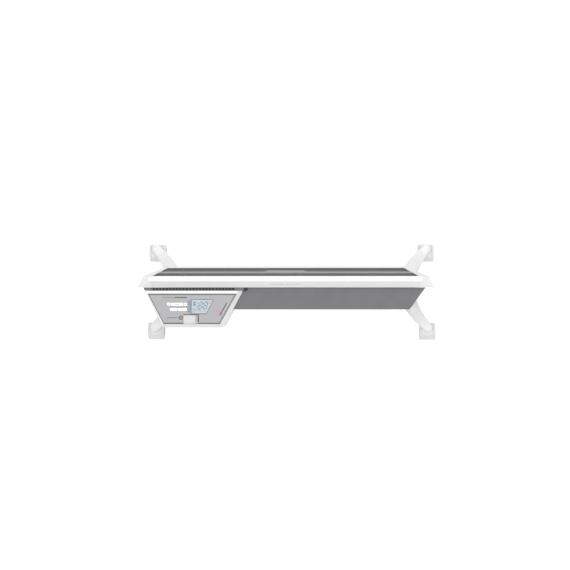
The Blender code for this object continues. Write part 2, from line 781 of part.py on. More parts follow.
def heating_element():
    """Aluminium element: two crossed fins along a tube that holds the heating wire."""
    half = ELEMENT_LENGTH / 2
    centre = Matrix.Translation((0, ELEMENT_Y, ELEMENT_Z))
    tube_half = half + 0.030
    core = add_part(
        "heating_element",
        rod(ELEMENT_TUBE, (-tube_half, ELEMENT_Y, ELEMENT_Z), (tube_half, ELEMENT_Y, ELEMENT_Z), 12),
        ALUMINIUM,
    )
    for index, angle in enumerate((-ELEMENT_ANGLE, ELEMENT_ANGLE)):
        sheet = ELEMENT_SHEET / 2
        fin = boxes([((-half, -sheet, -ELEMENT_ARM / 2), (half, sheet, ELEMENT_ARM / 2))])
        fin.transform(centre @ Matrix.Rotation(math.radians(angle), 4, "X"))
        boolean(core, add_cutter(f"element_fin_{index}", fin), "UNION")


def element_fittings():
    """The two brackets that carry the element, and the ceramic beads at its ends."""
    foot = BODY_BOTTOM + BASE_THICKNESS + GAP
    for hand, side in (("left", -1), ("right", 1)):
        inner = BRACKET_X - 0.012
        profile = [(side * inner, foot), (side * BRACKET_X, foot), (side * BRACKET_X, ELEMENT_Z + 0.030)]
        mesh = solidified(swept_sheet(profile, -0.018, 0.018, (0, 0, -1)), BRACKET_SHEET)
        mesh.transform(Matrix.Translation((0, ELEMENT_Y, 0)) @ Matrix.Rotation(math.radians(-90), 4, "Z"))
        bracket = add_part(f"element_bracket_{hand}", mesh, GALVANISED)
        reach = side * (BRACKET_X + 0.010)
        hole = rod(ELEMENT_TUBE + GAP, (0, ELEMENT_Y, ELEMENT_Z), (reach, ELEMENT_Y, ELEMENT_Z), 12)
        boolean(bracket, add_cutter(f"element_bracket_hole_{hand}", hole))
        start = ELEMENT_LENGTH / 2 + 0.030 + GAP
        profile = [(0, 0.016), (0.002, 0.016), (0.002, 0.011), (0.0055, 0.010), (0.0055, 0.0), (0, 0.0)]
        bead = turned(profile, 10)
        bead.transform(Matrix.Rotation(math.radians(90 * side), 4, "Y"))
        add_part(f"element_terminal_{hand}", bead, CERAMIC, (side * start, ELEMENT_Y, ELEMENT_Z))


def air_guide():
    """Folded sheet that keeps the warm air to the front and the rear housing cool."""
    low, high = GUIDE_Z
    profile = [(GUIDE_Y, low), (GUIDE_Y, high), (GUIDE_Y - 0.012, high + 0.006)]
    work = swept_sheet(profile, -GUIDE_HALF_X, GUIDE_HALF_X, (0, 1, 0))
    add_part("air_guide", solidified(work, GUIDE_SHEET), GALVANISED)


def body_sensors():
    """Overheat cut-out, room sensor and tilt switch."""
    neck, flange = 0.0045, 0.0080
    profile = [(0, 0.012), (neck, 0.012), (neck, 0.007), (flange, 0.006), (flange, 0.0), (0, 0.0)]
    cutout = turned(profile, 12)
    cutout.transform(Matrix.Rotation(math.radians(-90), 4, "X"))
    cutout.transform(Matrix.Translation((CUTOUT_X, GUIDE_Y + GAP, CUTOUT_Z)))
    add_part("thermal_cutout", cutout, BRIGHT_STEEL)
    floor = BODY_BOTTOM + BASE_THICKNESS + GAP
    bead, foot = 0.0026, 0.0060
    profile = [(0, 0.016), (bead, 0.0135), (bead, 0.002), (foot, 0.002), (foot, 0.0), (0, 0.0)]
    sensor = turned(profile, 10)
    x, y = SENSOR_PLACE
    sensor.transform(Matrix.Translation((x, y, floor)))
    add_part("room_sensor", sensor, WHITE_PLASTIC)
    (low_x, low_y), (high_x, high_y) = TILT_SWITCH
    switch = box((low_x, low_y, floor), (high_x, high_y, floor + TILT_SWITCH_HEIGHT), 0.001)
    add_part("tilt_switch", switch, DARK_GREY_PLASTIC)


def wiring_loom():
    """Leads from the element's right-hand end, up behind the air guide to the connector."""
    start = ELEMENT_LENGTH / 2 + 0.047
    route = [
        (start + 0.0005, ELEMENT_Y, ELEMENT_Z),
        (start + 0.008, ELEMENT_Y + 0.002, ELEMENT_Z + 0.003),
        (start + 0.010, ELEMENT_Y + 0.016, ELEMENT_Z + 0.022),
        (start - 0.002, ELEMENT_Y + 0.040, ELEMENT_Z + 0.060),
        (start - 0.018, 0.0330, ELEMENT_Z + 0.110),
        (CONNECTOR_X + 0.030, 0.0350, CONNECTOR_Z - 0.065),
        (CONNECTOR_X + 0.004, 0.0370, CONNECTOR_Z - 0.030),
        (CONNECTOR_X, 0.0400, CONNECTOR_Z - 0.007),
        (CONNECTOR_X, 0.0440, CONNECTOR_Z - 0.003),
        (CONNECTOR_X, 0.0477, CONNECTOR_Z - 0.003),
    ]
    curve = bpy.data.curves.new("wiring_loom", "CURVE")
    curve.dimensions = "3D"
    curve.bevel_depth = 0.0028
    curve.bevel_resolution = 1
    curve.use_fill_caps = True
    spline = curve.splines.new("POLY")
    spline.points.add(len(route) - 1)
    for point, place in zip(spline.points, route):
        point.co = (*place, 1)
    tube = evaluated_mesh(bpy.data.objects.new("wiring_loom", curve))
    add_part("wiring_loom", smooth(tube), BLACK_RUBBER)


def connector_hole(depth):
    """Box of the opening that the connector passes through, over a depth in Y."""
    half_x, half_z = CONNECTOR_SIZE[0] / 2 + GAP, CONNECTOR_SIZE[1] / 2 + GAP
    low = (CONNECTOR_X - half_x, depth[0], CONNECTOR_Z - half_z)
    return low, (CONNECTOR_X + half_x, depth[1], CONNECTOR_Z + half_z)


def connectors():
    """The socket in the rear housing, and the plug of the control unit that goes on it."""
    half_x, half_z = CONNECTOR_SIZE[0] / 2, CONNECTOR_SIZE[1] / 2
    join = UNIT_HOOK_Y + UNIT_WALL + 0.001
    low = (CONNECTOR_X - half_x, 0.0480, CONNECTOR_Z - half_z)
    high = (CONNECTOR_X + half_x, join, CONNECTOR_Z + half_z)
    add_part("body_socket", box(low, high, 0.0008), DARK_GREY_PLASTIC)
    low = (CONNECTOR_X - half_x - 0.002, join + GAP, CONNECTOR_Z - half_z - 0.002)
    high = (CONNECTOR_X + half_x + 0.002, join + 0.012, CONNECTOR_Z + half_z + 0.002)
    add_part("unit_plug", box(low, high, 0.0008), WHITE_PLASTIC)


# ---- Legs and casters ---------------------------------------------------------------------------


def leg_end_x(y):
    """Distance of the leg's end on that side of Y = 0 from the middle; the rear ends are further apart."""
    return LEG_REAR_END_X if y > 0 else LEG_FRONT_END_X


def leg_centre_x(y):
    """Distance of a leg's centre line from the middle of the heater."""
    return LEG_MIDDLE_X + (leg_end_x(y) - LEG_MIDDLE_X) * (y / LEG_END_Y) ** 2


def ease(value, start, end):
    share = min(max((value - start) / (end - start), 0), 1)
    return share * share * (3 - 2 * share)


def squared(value):
    """Softens a sine or cosine towards a square wave, for a rounded-rectangle section."""
    return math.copysign(abs(value) ** 0.5, value)


def leg_ring(work, side, centre, across, half_width, low, high):
    ring = []
    for step in range(LEG_RING):
        angle = 2 * math.pi * (step + 0.5) / LEG_RING
        place = centre + across * (half_width * squared(math.cos(angle)))
        height = (low + high) / 2 + (high - low) / 2 * squared(math.sin(angle))
        ring.append(work.verts.new((side * place.x, place.y, height)))
    return ring


def leg_shape(side):
    """A leg, lofted through sections whose place, width and height all change along it."""
    work = bmesh.new()
    rings = []
    tips = [math.radians(angle) for angle in (80, 55, 28)]
    stations = [(-1, tip) for tip in tips]
    stations += [(index / LEG_HALF_STATIONS - 1, 0) for index in range(2 * LEG_HALF_STATIONS + 1)]
    stations += [(1, tip) for tip in reversed(tips)]
    for share, tip in stations:
        y = share * LEG_END_Y
        slope = 2 * share * (leg_end_x(y) - LEG_MIDDLE_X) / LEG_END_Y
        along = Vector((slope, 1)).normalized()
        across = Vector((along.y, -along.x))
        past_end = math.copysign(LEG_END_RADIUS, share) * math.sin(tip)
        centre = Vector((leg_centre_x(y), y)) + along * past_end
        reach = 1 - abs(share)
        width = LEG_END_RADIUS + (LEG_MIDDLE_HALF_WIDTH - LEG_END_RADIUS) * reach
        low = LEG_UNDER_MIDDLE + (LEG_UNDER_END - LEG_UNDER_MIDDLE) * ease(abs(y), 0.050, 0.100)
        high = LEG_TOP_MIDDLE + (LEG_TOP_END - LEG_TOP_MIDDLE) * ease(abs(y), 0.060, 0.116)
        middle = (low + high) / 2
        shrink = 0.45 + 0.55 * math.cos(tip)
        low, high = middle + (low - middle) * shrink, middle + (high - middle) * shrink
        rings.append(leg_ring(work, side, centre, across, width * math.cos(tip), low, high))
    for first, second in zip(rings, rings[1:]):
        for step in range(LEG_RING):
            after = (step + 1) % LEG_RING
            work.faces.new((first[step], first[after], second[after], second[step]))
    work.faces.new(rings[0])
    work.faces.new(rings[-1])
    bmesh.ops.recalc_face_normals(work, faces=work.faces)
    return smooth(finished(work), 50)


def caster_places():
    """Name, X and Y of each swivel axis."""
    places = []
    for end, y in (("front", -LEG_END_Y), ("rear", LEG_END_Y)):
        for hand, x in (("left", -leg_end_x(y)), ("right", leg_end_x(y))):
            places.append((f"{end}_{hand}", x, y))
    return places


def legs():
    """Both legs, with blind holes for the casters' stems and stepped holes for the leg screws."""
    head, _, shank, _ = LEG_SCREW
    step = [
        (0, 0.10),
        (shank + GAP, 0.10),
        (shank + GAP, LEG_SCREW_SEAT),
        (head + 0.001, LEG_SCREW_SEAT),
        (head + 0.001, 0.04),
        (0, 0.04),
    ]
    stepped = turned(step, SCREW_STEPS)
    for name, side in (("leg_left", -1), ("leg_right", 1)):
        leg = add_part(name, leg_shape(side), WHITE_PLASTIC)
        holes = []
        for y in (-LEG_END_Y, LEG_END_Y):
            x = side * leg_end_x(y)
            hole = rod(STEM_RADIUS + GAP, (x, y, 0.040), (x, y, STEM_TOP + GAP), 12)
            holes.append((hole, Matrix.Identity(4)))
        for y in (-LEG_SCREW_Y, LEG_SCREW_Y):
            holes.append((stepped, Matrix.Translation((side * leg_centre_x(y), y, 0))))
        boolean(leg, add_cutter(name + "_holes", joined(holes)))
    names = [f"leg_screw_{hand}_{end}" for hand in ("left", "right") for end in ("front", "rear")]
    add_screws(names, LEG_SCREW, leg_screw_places())


def hood_shape():
    """A caster's hood: side outline with a rounded top, wide enough to cover both wheels."""
    outline = [
        (HOOD_FRONT_Y, HOOD_BOTTOM),
        (HOOD_REAR_Y, HOOD_BOTTOM),
        (HOOD_REAR_Y, HOOD_BOTTOM + 0.014),
        (HOOD_REAR_Y - 0.013, HOOD_TOP),
        (HOOD_FRONT_Y, HOOD_TOP),
    ]
    outline = rounded(outline, (0.002, 0.002, 0.009, 0.007, 0.005), 2)
    obj = bpy.data.objects.new("hood", side_slab(outline, -HOOD_HALF_WIDTH, HOOD_HALF_WIDTH))
    bevel = obj.modifiers.new("edge", "BEVEL")
    bevel.width = HOOD_EDGE
    bevel.segments = 1
    bevel.limit_method = "ANGLE"
    bevel.angle_limit = math.radians(60)
    return smooth(evaluated_mesh(obj), 40)


def hood_hollow():
    """Cutters for the two wheel wells, the axle hole and the stem's seat."""
    well = WHEEL_RADIUS + WHEEL_CLEARANCE
    y, z = CASTER_TRAIL, WHEEL_RADIUS
    outside = HOOD_HALF_WIDTH + 0.002
    half = HOOD_WEB
    return [
        ("wheel_well_left", rod(well, (-outside, y, z), (-half, y, z), 20)),
        ("wheel_well_right", rod(well, (half, y, z), (outside, y, z), 20)),
        ("axle_hole", rod(AXLE_RADIUS + GAP, (-half - 0.002, y, z), (half + 0.002, y, z), 12)),
        ("stem_seat", rod(STEM_RADIUS + GAP, (0, 0, STEM_BOTTOM - GAP), (0, 0, HOOD_TOP + 0.01), 12)),
    ]


def wheel_pair():
    """Both wheel cores on their axle, turned about Z, with dished outer faces."""
    rim = WHEEL_RADIUS
    outer, inner = WHEEL_OUTER_X, WHEEL_INNER_X
    half = [
        (0, outer - WHEEL_DISH),
        (rim - 0.0050, outer - WHEEL_DISH),
        (rim - 0.0032, outer),
        (rim - 0.0010, outer),
        (rim, outer - 0.0020),
        (rim, inner + 0.0010),
        (rim - 0.0010, inner),
        (AXLE_RADIUS, inner),
    ]
    return turned(half + [(radius, -height) for radius, height in reversed(half)])


def stem_shape():
    """Steel stem with a collar that the leg rests on."""
    under, over = COLLAR
    profile = [
        (0, STEM_TOP),
        (STEM_RADIUS - 0.001, STEM_TOP),
        (STEM_RADIUS, STEM_TOP - 0.001),
        (STEM_RADIUS, over),
        (COLLAR_RADIUS, over),
        (COLLAR_RADIUS, under),
        (STEM_RADIUS, under),
        (STEM_RADIUS, STEM_BOTTOM),
        (0, STEM_BOTTOM),
    ]
    return turned(profile, 12)


def casters():
    """Four swivelling twin-wheel casters, each hung on an empty on its swivel axis."""
    hood = hood_shape()
    hollows = hood_hollow()
    wheels = wheel_pair()
    wheels.transform(Matrix.Rotation(math.radians(90), 4, "Y"))
    stem = stem_shape()
    for name, x, y in caster_places():
        swivel = new_empty(f"swivel_{name}", (x, y, 0), heater)
        axle = new_empty(f"axle_{name}", (0, CASTER_TRAIL, WHEEL_RADIUS), swivel)
        cover = add_part(f"caster_hood_{name}", hood.copy(), WHITE_PLASTIC, parent=swivel)
        for label, mesh in hollows:
            boolean(cover, add_cutter(f"{label}_{name}", mesh, swivel))
        add_part(f"caster_stem_{name}", stem.copy(), BRIGHT_STEEL, parent=swivel)
        add_part(f"caster_wheels_{name}", wheels.copy(), PALE_GREY_PLASTIC, parent=axle)


# ---- Control unit -------------------------------------------------------------------------------


def unit_plan(distance=0.0):
    """Outline of the control unit from above, moved inwards by distance."""
    corners = [max(radius - distance, 0.0015) for radius in UNIT_CORNERS]
    return rounded(inset(UNIT_OUTLINE, distance), corners)


def behind(points, y):
    """The part of a four-cornered outline that lies behind y."""
    left_front, right_front, right_rear, left_rear = (Vector(point) for point in points)
    right = right_front.lerp(right_rear, (y - right_front.y) / (right_rear.y - right_front.y))
    left = left_front.lerp(left_rear, (y - left_front.y) / (left_rear.y - left_front.y))
    return [tuple(left), tuple(right), tuple(right_rear), tuple(left_rear)]


def unit_screw_places():
    """One lock screw, up through the overhanging part of the case beside the housing."""
    return [((UNIT_LOCK_X, HOUSING_REAR_Y + UNIT_LOCK_Y, UNIT_BOTTOM), (0, 0, -1))]


def unit_case():
    """The unit's white lower case: shallow over the housing and deep behind it."""
    case = add_part("unit_case", slab(unit_plan(), UNIT_BOTTOM, UNIT_RIM - GAP), WHITE_PLASTIC)
    under = boxes([((0.0, -0.020, UNIT_BOTTOM - 0.02), (0.5, UNIT_HOOK_Y, UNIT_FLOOR))])
    boolean(case, add_cutter("unit_underside", under))
    room = slab(unit_plan(UNIT_WALL), UNIT_FLOOR + UNIT_WALL, UNIT_TOP)
    boolean(case, add_cutter("unit_upper_room", room))
    deep = behind(inset(UNIT_OUTLINE, UNIT_WALL + 0.0005), UNIT_HOOK_Y + UNIT_WALL)
    deep = rounded(deep, (0.001, 0.001, 0.009, 0.009))
    boolean(case, add_cutter("unit_deep_room", slab(deep, UNIT_BOTTOM + UNIT_WALL, UNIT_FLOOR + 0.004)))
    holes = boxes([connector_hole((UNIT_HOOK_Y - 0.002, UNIT_HOOK_Y + UNIT_WALL + 0.001))])
    boolean(case, add_cutter("unit_plug_hole", holes))
    boolean(case, add_cutter("unit_screw_holes", screw_holes(UNIT_SCREW, unit_screw_places())))
    x, y = GLAND_PLACE
    hole = rod(GLAND_NECK + GAP, (x, y, UNIT_BOTTOM - 0.01), (x, y, UNIT_BOTTOM + 0.01), 16)
    boolean(case, add_cutter("unit_gland_hole", hole))
    add_screws(["unit_lock_screw"], UNIT_SCREW, unit_screw_places())


def cable_gland():
    """Grommet in the floor of the unit, where the mains cord enters."""
    x, y = GLAND_PLACE
    flange, bore = 0.0095, 0.0035
    profile = [
        (bore, 0.006),
        (flange - 0.001, 0.006),
        (flange - 0.001, UNIT_WALL + GAP),
        (GLAND_NECK, UNIT_WALL + GAP),
        (GLAND_NECK, -GAP),
        (flange, -GAP),
        (flange * 0.75, -0.010),
        (bore, -0.010),
    ]
    gland = turned(profile, 16, closed=True)
    add_part("cable_gland", gland, BLACK_RUBBER, (x, y, UNIT_BOTTOM))


def unit_frame():
    """White bezel with sloping sides and a sunk ledge that carries the fascia."""
    rim = unit_plan()
    top = rounded(UNIT_TOP_OUTLINE, UNIT_TOP_CORNERS)
    frame = add_part("unit_frame", smooth(lofted(rim, top, UNIT_RIM, UNIT_TOP)), WHITE_PLASTIC)
    opening = slab(inset(FASCIA_OUTLINE, FASCIA_LEDGE), UNIT_RIM - 0.005, UNIT_TOP + 0.005)
    boolean(frame, add_cutter("frame_opening", opening))
    floor = FASCIA_TOP - FASCIA_THICKNESS - GAP
    pocket = slab(inset(FASCIA_OUTLINE, -FASCIA_GROOVE), floor, UNIT_TOP + 0.005)
    boolean(frame, add_cutter("frame_pocket", pocket))
    boolean(frame, add_cutter("frame_module_room", module_room()))


def module_room():
    """Clearance around the wireless module, through the fascia and the frame's ledge."""
    (low_x, low_y), (high_x, high_y) = MODULE_LOW, MODULE_HIGH
    low = (low_x - FASCIA_GROOVE, low_y - FASCIA_GROOVE, MODULE_BOTTOM - GAP)
    high = (high_x + MODULE_CLEARANCE, high_y + MODULE_CLEARANCE, UNIT_TOP + 0.006)
    return boxes([(low, high)])


def vent_grille():
    """Dark slotted strip between the control unit and the rear edge of the casing."""
    front, rear = CASING_REAR_Y + GAP, UNIT_OUTLINE[0][1] - GAP
    outline = [(0.115, front), (0.398, front), (0.3950, rear), (0.1185, rear)]
    bar = slab(outline, VENT_TOP - VENT_THICKNESS, VENT_TOP)
    strip = add_part("vent_grille", bar, DARK_GREY_PLASTIC)
    pitch = (VENT_LAST_X - VENT_FIRST_X) / (VENT_SLOTS - 1)
    openings = []
    for index in range(VENT_SLOTS):
        x = VENT_FIRST_X + index * pitch
        low = (x - VENT_SLOT_WIDTH / 2, front + 0.0012, VENT_TOP - 0.010)
        openings.append((low, (x + VENT_SLOT_WIDTH / 2, rear - 0.0012, VENT_TOP + 0.010)))
    boolean(strip, add_cutter("vent_slots", boxes(openings)))


def key_outline(name, grow=0.0):
    """Outline of a key from above; some have a slanted outer end."""
    (low_x, high_x), (low_y, high_y), slant = KEYS[name]
    points = [(low_x, low_y), (high_x, low_y), (high_x - slant, high_y), (low_x, high_y)]
    return inset(points, -grow)


def keys():
    """Five keys, each with its origin at the middle of its top, on its line of travel."""
    for name in KEYS:
        outline = key_outline(name)
        centre = sum((Vector(point) for point in outline), Vector((0, 0))) / len(outline)
        local = [tuple(Vector(point) - centre) for point in outline]
        block = slab(rounded(local, (0.001,) * 4, 2), KEY_BOTTOM - KEY_TOP, 0)
        obj = bpy.data.objects.new("key", block)
        bevel = obj.modifiers.new("edge", "BEVEL")
        bevel.width = 0.0004
        bevel.segments = 1
        bevel.limit_method = "ANGLE"
        bevel.angle_limit = math.radians(60)
        add_part(name, smooth(evaluated_mesh(obj)), WHITE_PLASTIC, (*centre, KEY_TOP))


def fascia():
    """Silver-grey panel with openings for the window, the light bar, the keys and the module."""
    low = FASCIA_TOP - FASCIA_THICKNESS
    sheet = slab(rounded(FASCIA_OUTLINE, (0.002,) * 4), low, FASCIA_TOP)
    panel = add_part("display_fascia", sheet, SILVER_PANEL)
    below, above = low - 0.002, FASCIA_TOP + 0.002
    holes = [slab(inset(WINDOW_OUTLINE, -GAP), below, above)]
    (low_x, low_y), (high_x, high_y) = LED_BAR
    holes.append(boxes([((low_x - GAP, low_y - GAP, below), (high_x + GAP, high_y + GAP, above))]))
    holes += [slab(key_outline(name, KEY_CLEARANCE), below, above) for name in KEYS]
    same = Matrix.Identity(4)
    boolean(panel, add_cutter("fascia_holes", joined([(mesh, same) for mesh in holes])))
    boolean(panel, add_cutter("fascia_module_room", module_room()))


def display():
    """Window, display module, light bar with five lenses, key mat and circuit board."""
    low = FASCIA_TOP - FASCIA_THICKNESS
    add_part("display_window", slab(WINDOW_OUTLINE, low, FASCIA_TOP - 0.0002), DISPLAY_GLASS)
    (low_x, low_y), (high_x, high_y) = DISPLAY_MODULE
    back = box((low_x, low_y, BOARD_TOP + 0.0004), (high_x, high_y, low - GAP), 0.0006)
    add_part("display_module", back, BRIGHT_STEEL)
    (low_x, low_y), (high_x, high_y) = LED_BAR
    guide = boxes([((low_x, low_y, LED_BAR_BOTTOM), (high_x, high_y, FASCIA_TOP - LENS_RISE))])
    bar = add_part("light_bar", guide, LED_BLUE)
    middle_y = (low_y + high_y) / 2
    lenses = []
    for index in range(LED_COUNT):
        y = middle_y + (index - (LED_COUNT - 1) / 2) * LED_PITCH
        low = (low_x + LENS_INSET, y - LENS_HALF_Y, FASCIA_TOP - 0.001)
        lenses.append((low, (high_x - LENS_INSET, y + LENS_HALF_Y, FASCIA_TOP)))
    boolean(bar, add_cutter("light_lenses", boxes(lenses)), "UNION")
    (low_x, low_y), (high_x, high_y) = KEY_MAT
    mat = box((low_x, low_y, BOARD_TOP + 0.0004), (high_x, high_y, KEY_MAT_TOP), 0.0005)
    add_part("key_mat", mat, BLACK_RUBBER)
    (low_x, low_y), (high_x, high_y) = BOARD
    board = boxes([((low_x, low_y, BOARD_TOP - BOARD_THICKNESS), (high_x, high_y, BOARD_TOP))])
    add_part("circuit_board", board, CIRCUIT_GREEN)


def power_module():
    """Finned heat sink of the power switch, in the deep rear part of the case."""
    base, height, fins, pitch = 0.004, 0.022, 6, 0.0066
    left = 0.196
    outline = [(left, 0.0), (left + (fins - 1) * pitch + 0.002, 0.0)]
    for index in reversed(range(fins)):
        x = left + index * pitch
        outline += [(x + 0.002, height), (x, height)]
        if index:
            outline += [(x, base), (x - pitch + 0.002, base)]
    mesh = slab(outline, 0.392, 0.440)
    mesh.transform(Matrix.Translation((0, 0.0700, 0)))
    add_part("power_module", mesh, ALUMINIUM)


def upright_block(middle, half_x, half_y, low, high):
    x, y = middle
    return boxes([((x - half_x, y - half_y, low), (x + half_x, y + half_y, high))])


def wireless_module():
    """Plug-in radio module that stands out of the panel, and the socket it goes into."""
    low, high = MODULE_LOW, MODULE_HIGH
    middle = ((low[0] + high[0]) / 2, (low[1] + high[1]) / 2)
    left, right = low[0] - middle[0], high[0] - middle[0]
    depth = (high[1] - low[1]) / 2
    section = [
        (left, MODULE_BOTTOM),
        (right, MODULE_BOTTOM),
        (right, MODULE_TOP),
        (left + MODULE_SIDE_SLOPE, MODULE_TOP),
    ]
    section = rounded(section, (0, 0, 0.0018, 0.0018), 2)
    shell = slab(section, -depth, depth)
    shell.transform(Matrix.Rotation(math.radians(90), 4, "X"))
    shell.transform(Matrix.Translation((0, 0, -MODULE_BOTTOM)))
    module = add_part("wireless_module", smooth(shell), WHITE_PLASTIC, (*middle, MODULE_BOTTOM))
    half_x, half_y = MODULE_PLUG[0] / 2, MODULE_PLUG[1] / 2
    plug = upright_block(middle, half_x, half_y, MODULE_PLUG_BOTTOM, MODULE_BOTTOM + 0.002)
    boolean(module, add_cutter("module_plug", plug), "UNION")
    body = upright_block(middle, SOCKET_SIZE[0] / 2, SOCKET_SIZE[1] / 2, SOCKET_BOTTOM, SOCKET_TOP)
    socket = add_part("module_socket", body, DARK_GREY_PLASTIC)
    slot = upright_block(middle, half_x + GAP, half_y + GAP, MODULE_PLUG_BOTTOM - 0.001, SOCKET_TOP + 0.005)
    boolean(socket, add_cutter("module_slot", slot))


def control_unit():
    unit_case()
    unit_frame()
    vent_grille()
    fascia()
    display()
    keys()
    power_module()
    cable_gland()
    wireless_module()


clear_scene()
parts = new_collection("panel_convector_heater")
cutters = new_collection("cutters")
heater = new_empty("heater", (0, BODY_SHIFT_Y, 0))
front_casing()
outlet_mesh()
grille_divider()
end_cap("end_cap_left", -1)
end_cap("end_cap_right", 1)
rear_housing()
base_plate()
heating_element()
element_fittings()
air_guide()
body_sensors()
wiring_loom()
connectors()
legs()
casters()
control_unit()
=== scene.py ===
"""Looks of the panel convector heater: surfaces, fine pieces, panel graphics, stage, light and camera.

Metres, +Z up, in the CAD frame. +X runs towards the control unit and -Y is the front.
"""

import json
from math import atan, ceil, copysign, cos, pi, radians, sin, tan

import bmesh
import bpy
from mathutils import Matrix, Vector


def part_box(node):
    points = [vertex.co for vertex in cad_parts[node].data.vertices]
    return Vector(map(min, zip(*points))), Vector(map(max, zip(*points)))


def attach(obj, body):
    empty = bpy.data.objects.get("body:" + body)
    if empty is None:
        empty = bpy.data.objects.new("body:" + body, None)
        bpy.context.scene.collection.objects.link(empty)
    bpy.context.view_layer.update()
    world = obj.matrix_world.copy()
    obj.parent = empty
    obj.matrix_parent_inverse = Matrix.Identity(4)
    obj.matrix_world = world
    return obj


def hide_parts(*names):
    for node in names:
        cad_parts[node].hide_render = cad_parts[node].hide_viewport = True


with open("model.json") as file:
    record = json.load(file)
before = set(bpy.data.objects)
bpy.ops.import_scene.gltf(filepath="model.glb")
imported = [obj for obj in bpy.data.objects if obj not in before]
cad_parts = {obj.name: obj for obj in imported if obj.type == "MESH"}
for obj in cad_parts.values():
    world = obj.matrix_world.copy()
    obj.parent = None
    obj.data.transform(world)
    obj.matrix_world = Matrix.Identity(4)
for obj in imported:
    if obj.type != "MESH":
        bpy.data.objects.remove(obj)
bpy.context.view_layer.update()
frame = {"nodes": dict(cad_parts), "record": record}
record = frame["record"]
body_of_node = {node: body for body, nodes in record["behaviour"]["bodies"].items() for node in nodes}
slot_of_node = {row["node"]: row["material_slot"] for row in record["subparts"]}

CORNERS = ("front_left", "front_right", "rear_left", "rear_right")
GAP = 0.0003
# Places closer than NEAR or TOUCH count as one. The DEGREES are angles above which an edge stays sharp.
NEAR = 1e-5
TOUCH = 1e-6
SHELL_DEGREES = 25
ROUND_DEGREES = 40

# Camera: it looks almost straight down, with the front of the heater at the top of the picture.
CAMERA_PLACE = Vector((-0.19, -0.0124, 4.97))
CAMERA_AIM = Vector((0.0005, -0.0207, 0.47))
CAMERA_UP = Vector((0.0, -1.0, 0.0))
CAMERA_LENS = 102.3
CAMERA_SENSOR = 36.0


# ---- Materials ----


class Surface:
    """A Principled material whose colour, roughness and bump come from procedural nodes in metres."""

    def __init__(self, name, colour, roughness, metallic=0.0, coat=0.0, specular=0.5):
        self.material = bpy.data.materials.new(name)
        self.material.use_nodes = True
        self.tree = self.material.node_tree
        self.shader = self.tree.nodes["Principled BSDF"]
        self.colour = (*colour, 1.0)
        inputs = {"Base Color": self.colour, "Roughness": roughness, "Metallic": metallic}
        self.feed(self.shader, {**inputs, "Coat Weight": coat, "Specular IOR Level": specular})
        self.coordinates = self.tree.nodes.new("ShaderNodeTexCoord").outputs["Object"]
        self.paint = None
        self.normal = None

    def feed(self, node, inputs):
        """Links each value into its input if it is a socket itself, and sets it otherwise."""
        for key, value in inputs.items():
            if isinstance(value, bpy.types.NodeSocket):
                self.tree.links.new(value, node.inputs[key])
            else:
                node.inputs[key].default_value = value

    def node(self, kind, inputs, **settings):
        made = self.tree.nodes.new(kind)
        for key, value in settings.items():
            setattr(made, key, value)
        self.feed(made, inputs)
        return made

    def noise(self, size, detail=2.0, stretch=None):
        """Soft noise whose features are about size metres across."""
        vector = self.coordinates
        if stretch:
            vector = self.node("ShaderNodeMapping", {"Vector": vector, "Scale": stretch}).outputs["Vector"]
        inputs = {"Vector": vector, "Scale": 1.0 / size, "Detail": detail}
        return self.node("ShaderNodeTexNoise", inputs).outputs["Fac"]

    def cells(self, size, output="Distance"):
        inputs = {"Vector": self.coordinates, "Scale": 1.0 / size}
        return self.node("ShaderNodeTexVoronoi", inputs).outputs[output]

    def spread(self, value, low, high, from_low=0.3, from_high=0.7):
        """The value mapped from its own range to low..high, clamped."""
        inputs = {"Value": value, "From Min": from_low, "From Max": from_high, "To Min": low, "To Max": high}
        return self.node("ShaderNodeMapRange", inputs).outputs["Result"]

    def sums(self, first, second, operation="ADD"):
        settings = {"operation": operation, "use_clamp": operation != "ADD"}
        return self.node("ShaderNodeMath", {0: first, 1: second}, **settings).outputs[0]

    def tint(self, amount, colour):
        """Mixes colour over the paint so far, by an amount socket."""
        inputs = {"Factor": amount, 6: self.paint or self.colour, 7: (*colour, 1.0)}
        self.paint = self.node("ShaderNodeMix", inputs, data_type="RGBA").outputs[2]

    def roughness(self, value):
        self.feed(self.shader, {"Roughness": value})

    def glow(self, colour, strength):
        self.feed(self.shader, {"Emission Color": (*colour, 1.0), "Emission Strength": strength})

    def bump(self, height, depth):
        """Raises the surface by up to depth metres where height is 1, over the bumps so far."""
        inputs = {"Distance": depth, "Height": height}
        if self.normal:
            inputs["Normal"] = self.normal
        self.normal = self.node("ShaderNodeBump", inputs).outputs["Normal"]

    def edges(self, radius):
        """Close to 1 along edges sharper than radius, and 0 on flat ground."""
        soft = self.node("ShaderNodeBevel", {"Radius": radius}, samples=4).outputs["Normal"]
        plain = self.node("ShaderNodeNewGeometry", {}).outputs["Normal"]
        dot = self.node("ShaderNodeVectorMath", {0: soft, 1: plain}, operation="DOT_PRODUCT")
        return self.spread(dot.outputs["Value"], 1.0, 0.0, 0.8, 0.995)

    def wear(self, radius, colour, amount):
        """Rubbed edges, broken up by noise."""
        patches = self.spread(self.noise(0.012, 3.0), 0.0, amount, 0.45, 0.7)
        self.tint(self.sums(self.edges(radius), patches, "MULTIPLY"), colour)

    def clouds(self, size, detail, amount, colour, stretch=None):
        """Mixes colour in by up to amount, in soft clouds about size metres across."""
        self.tint(self.spread(self.noise(size, detail, stretch), 0.0, amount), colour)

    def sheen(self, size, detail, low, high):
        """Lets the roughness wander between low and high."""
        self.roughness(self.spread(self.noise(size, detail), low, high))

    def done(self):
        if self.paint:
            self.feed(self.shader, {"Base Color": self.paint})
        if self.normal:
            self.feed(self.shader, {"Normal": self.normal})
        return self.material


def lighter(colour, share):
    return tuple(min(1.0, part * share) for part in colour)


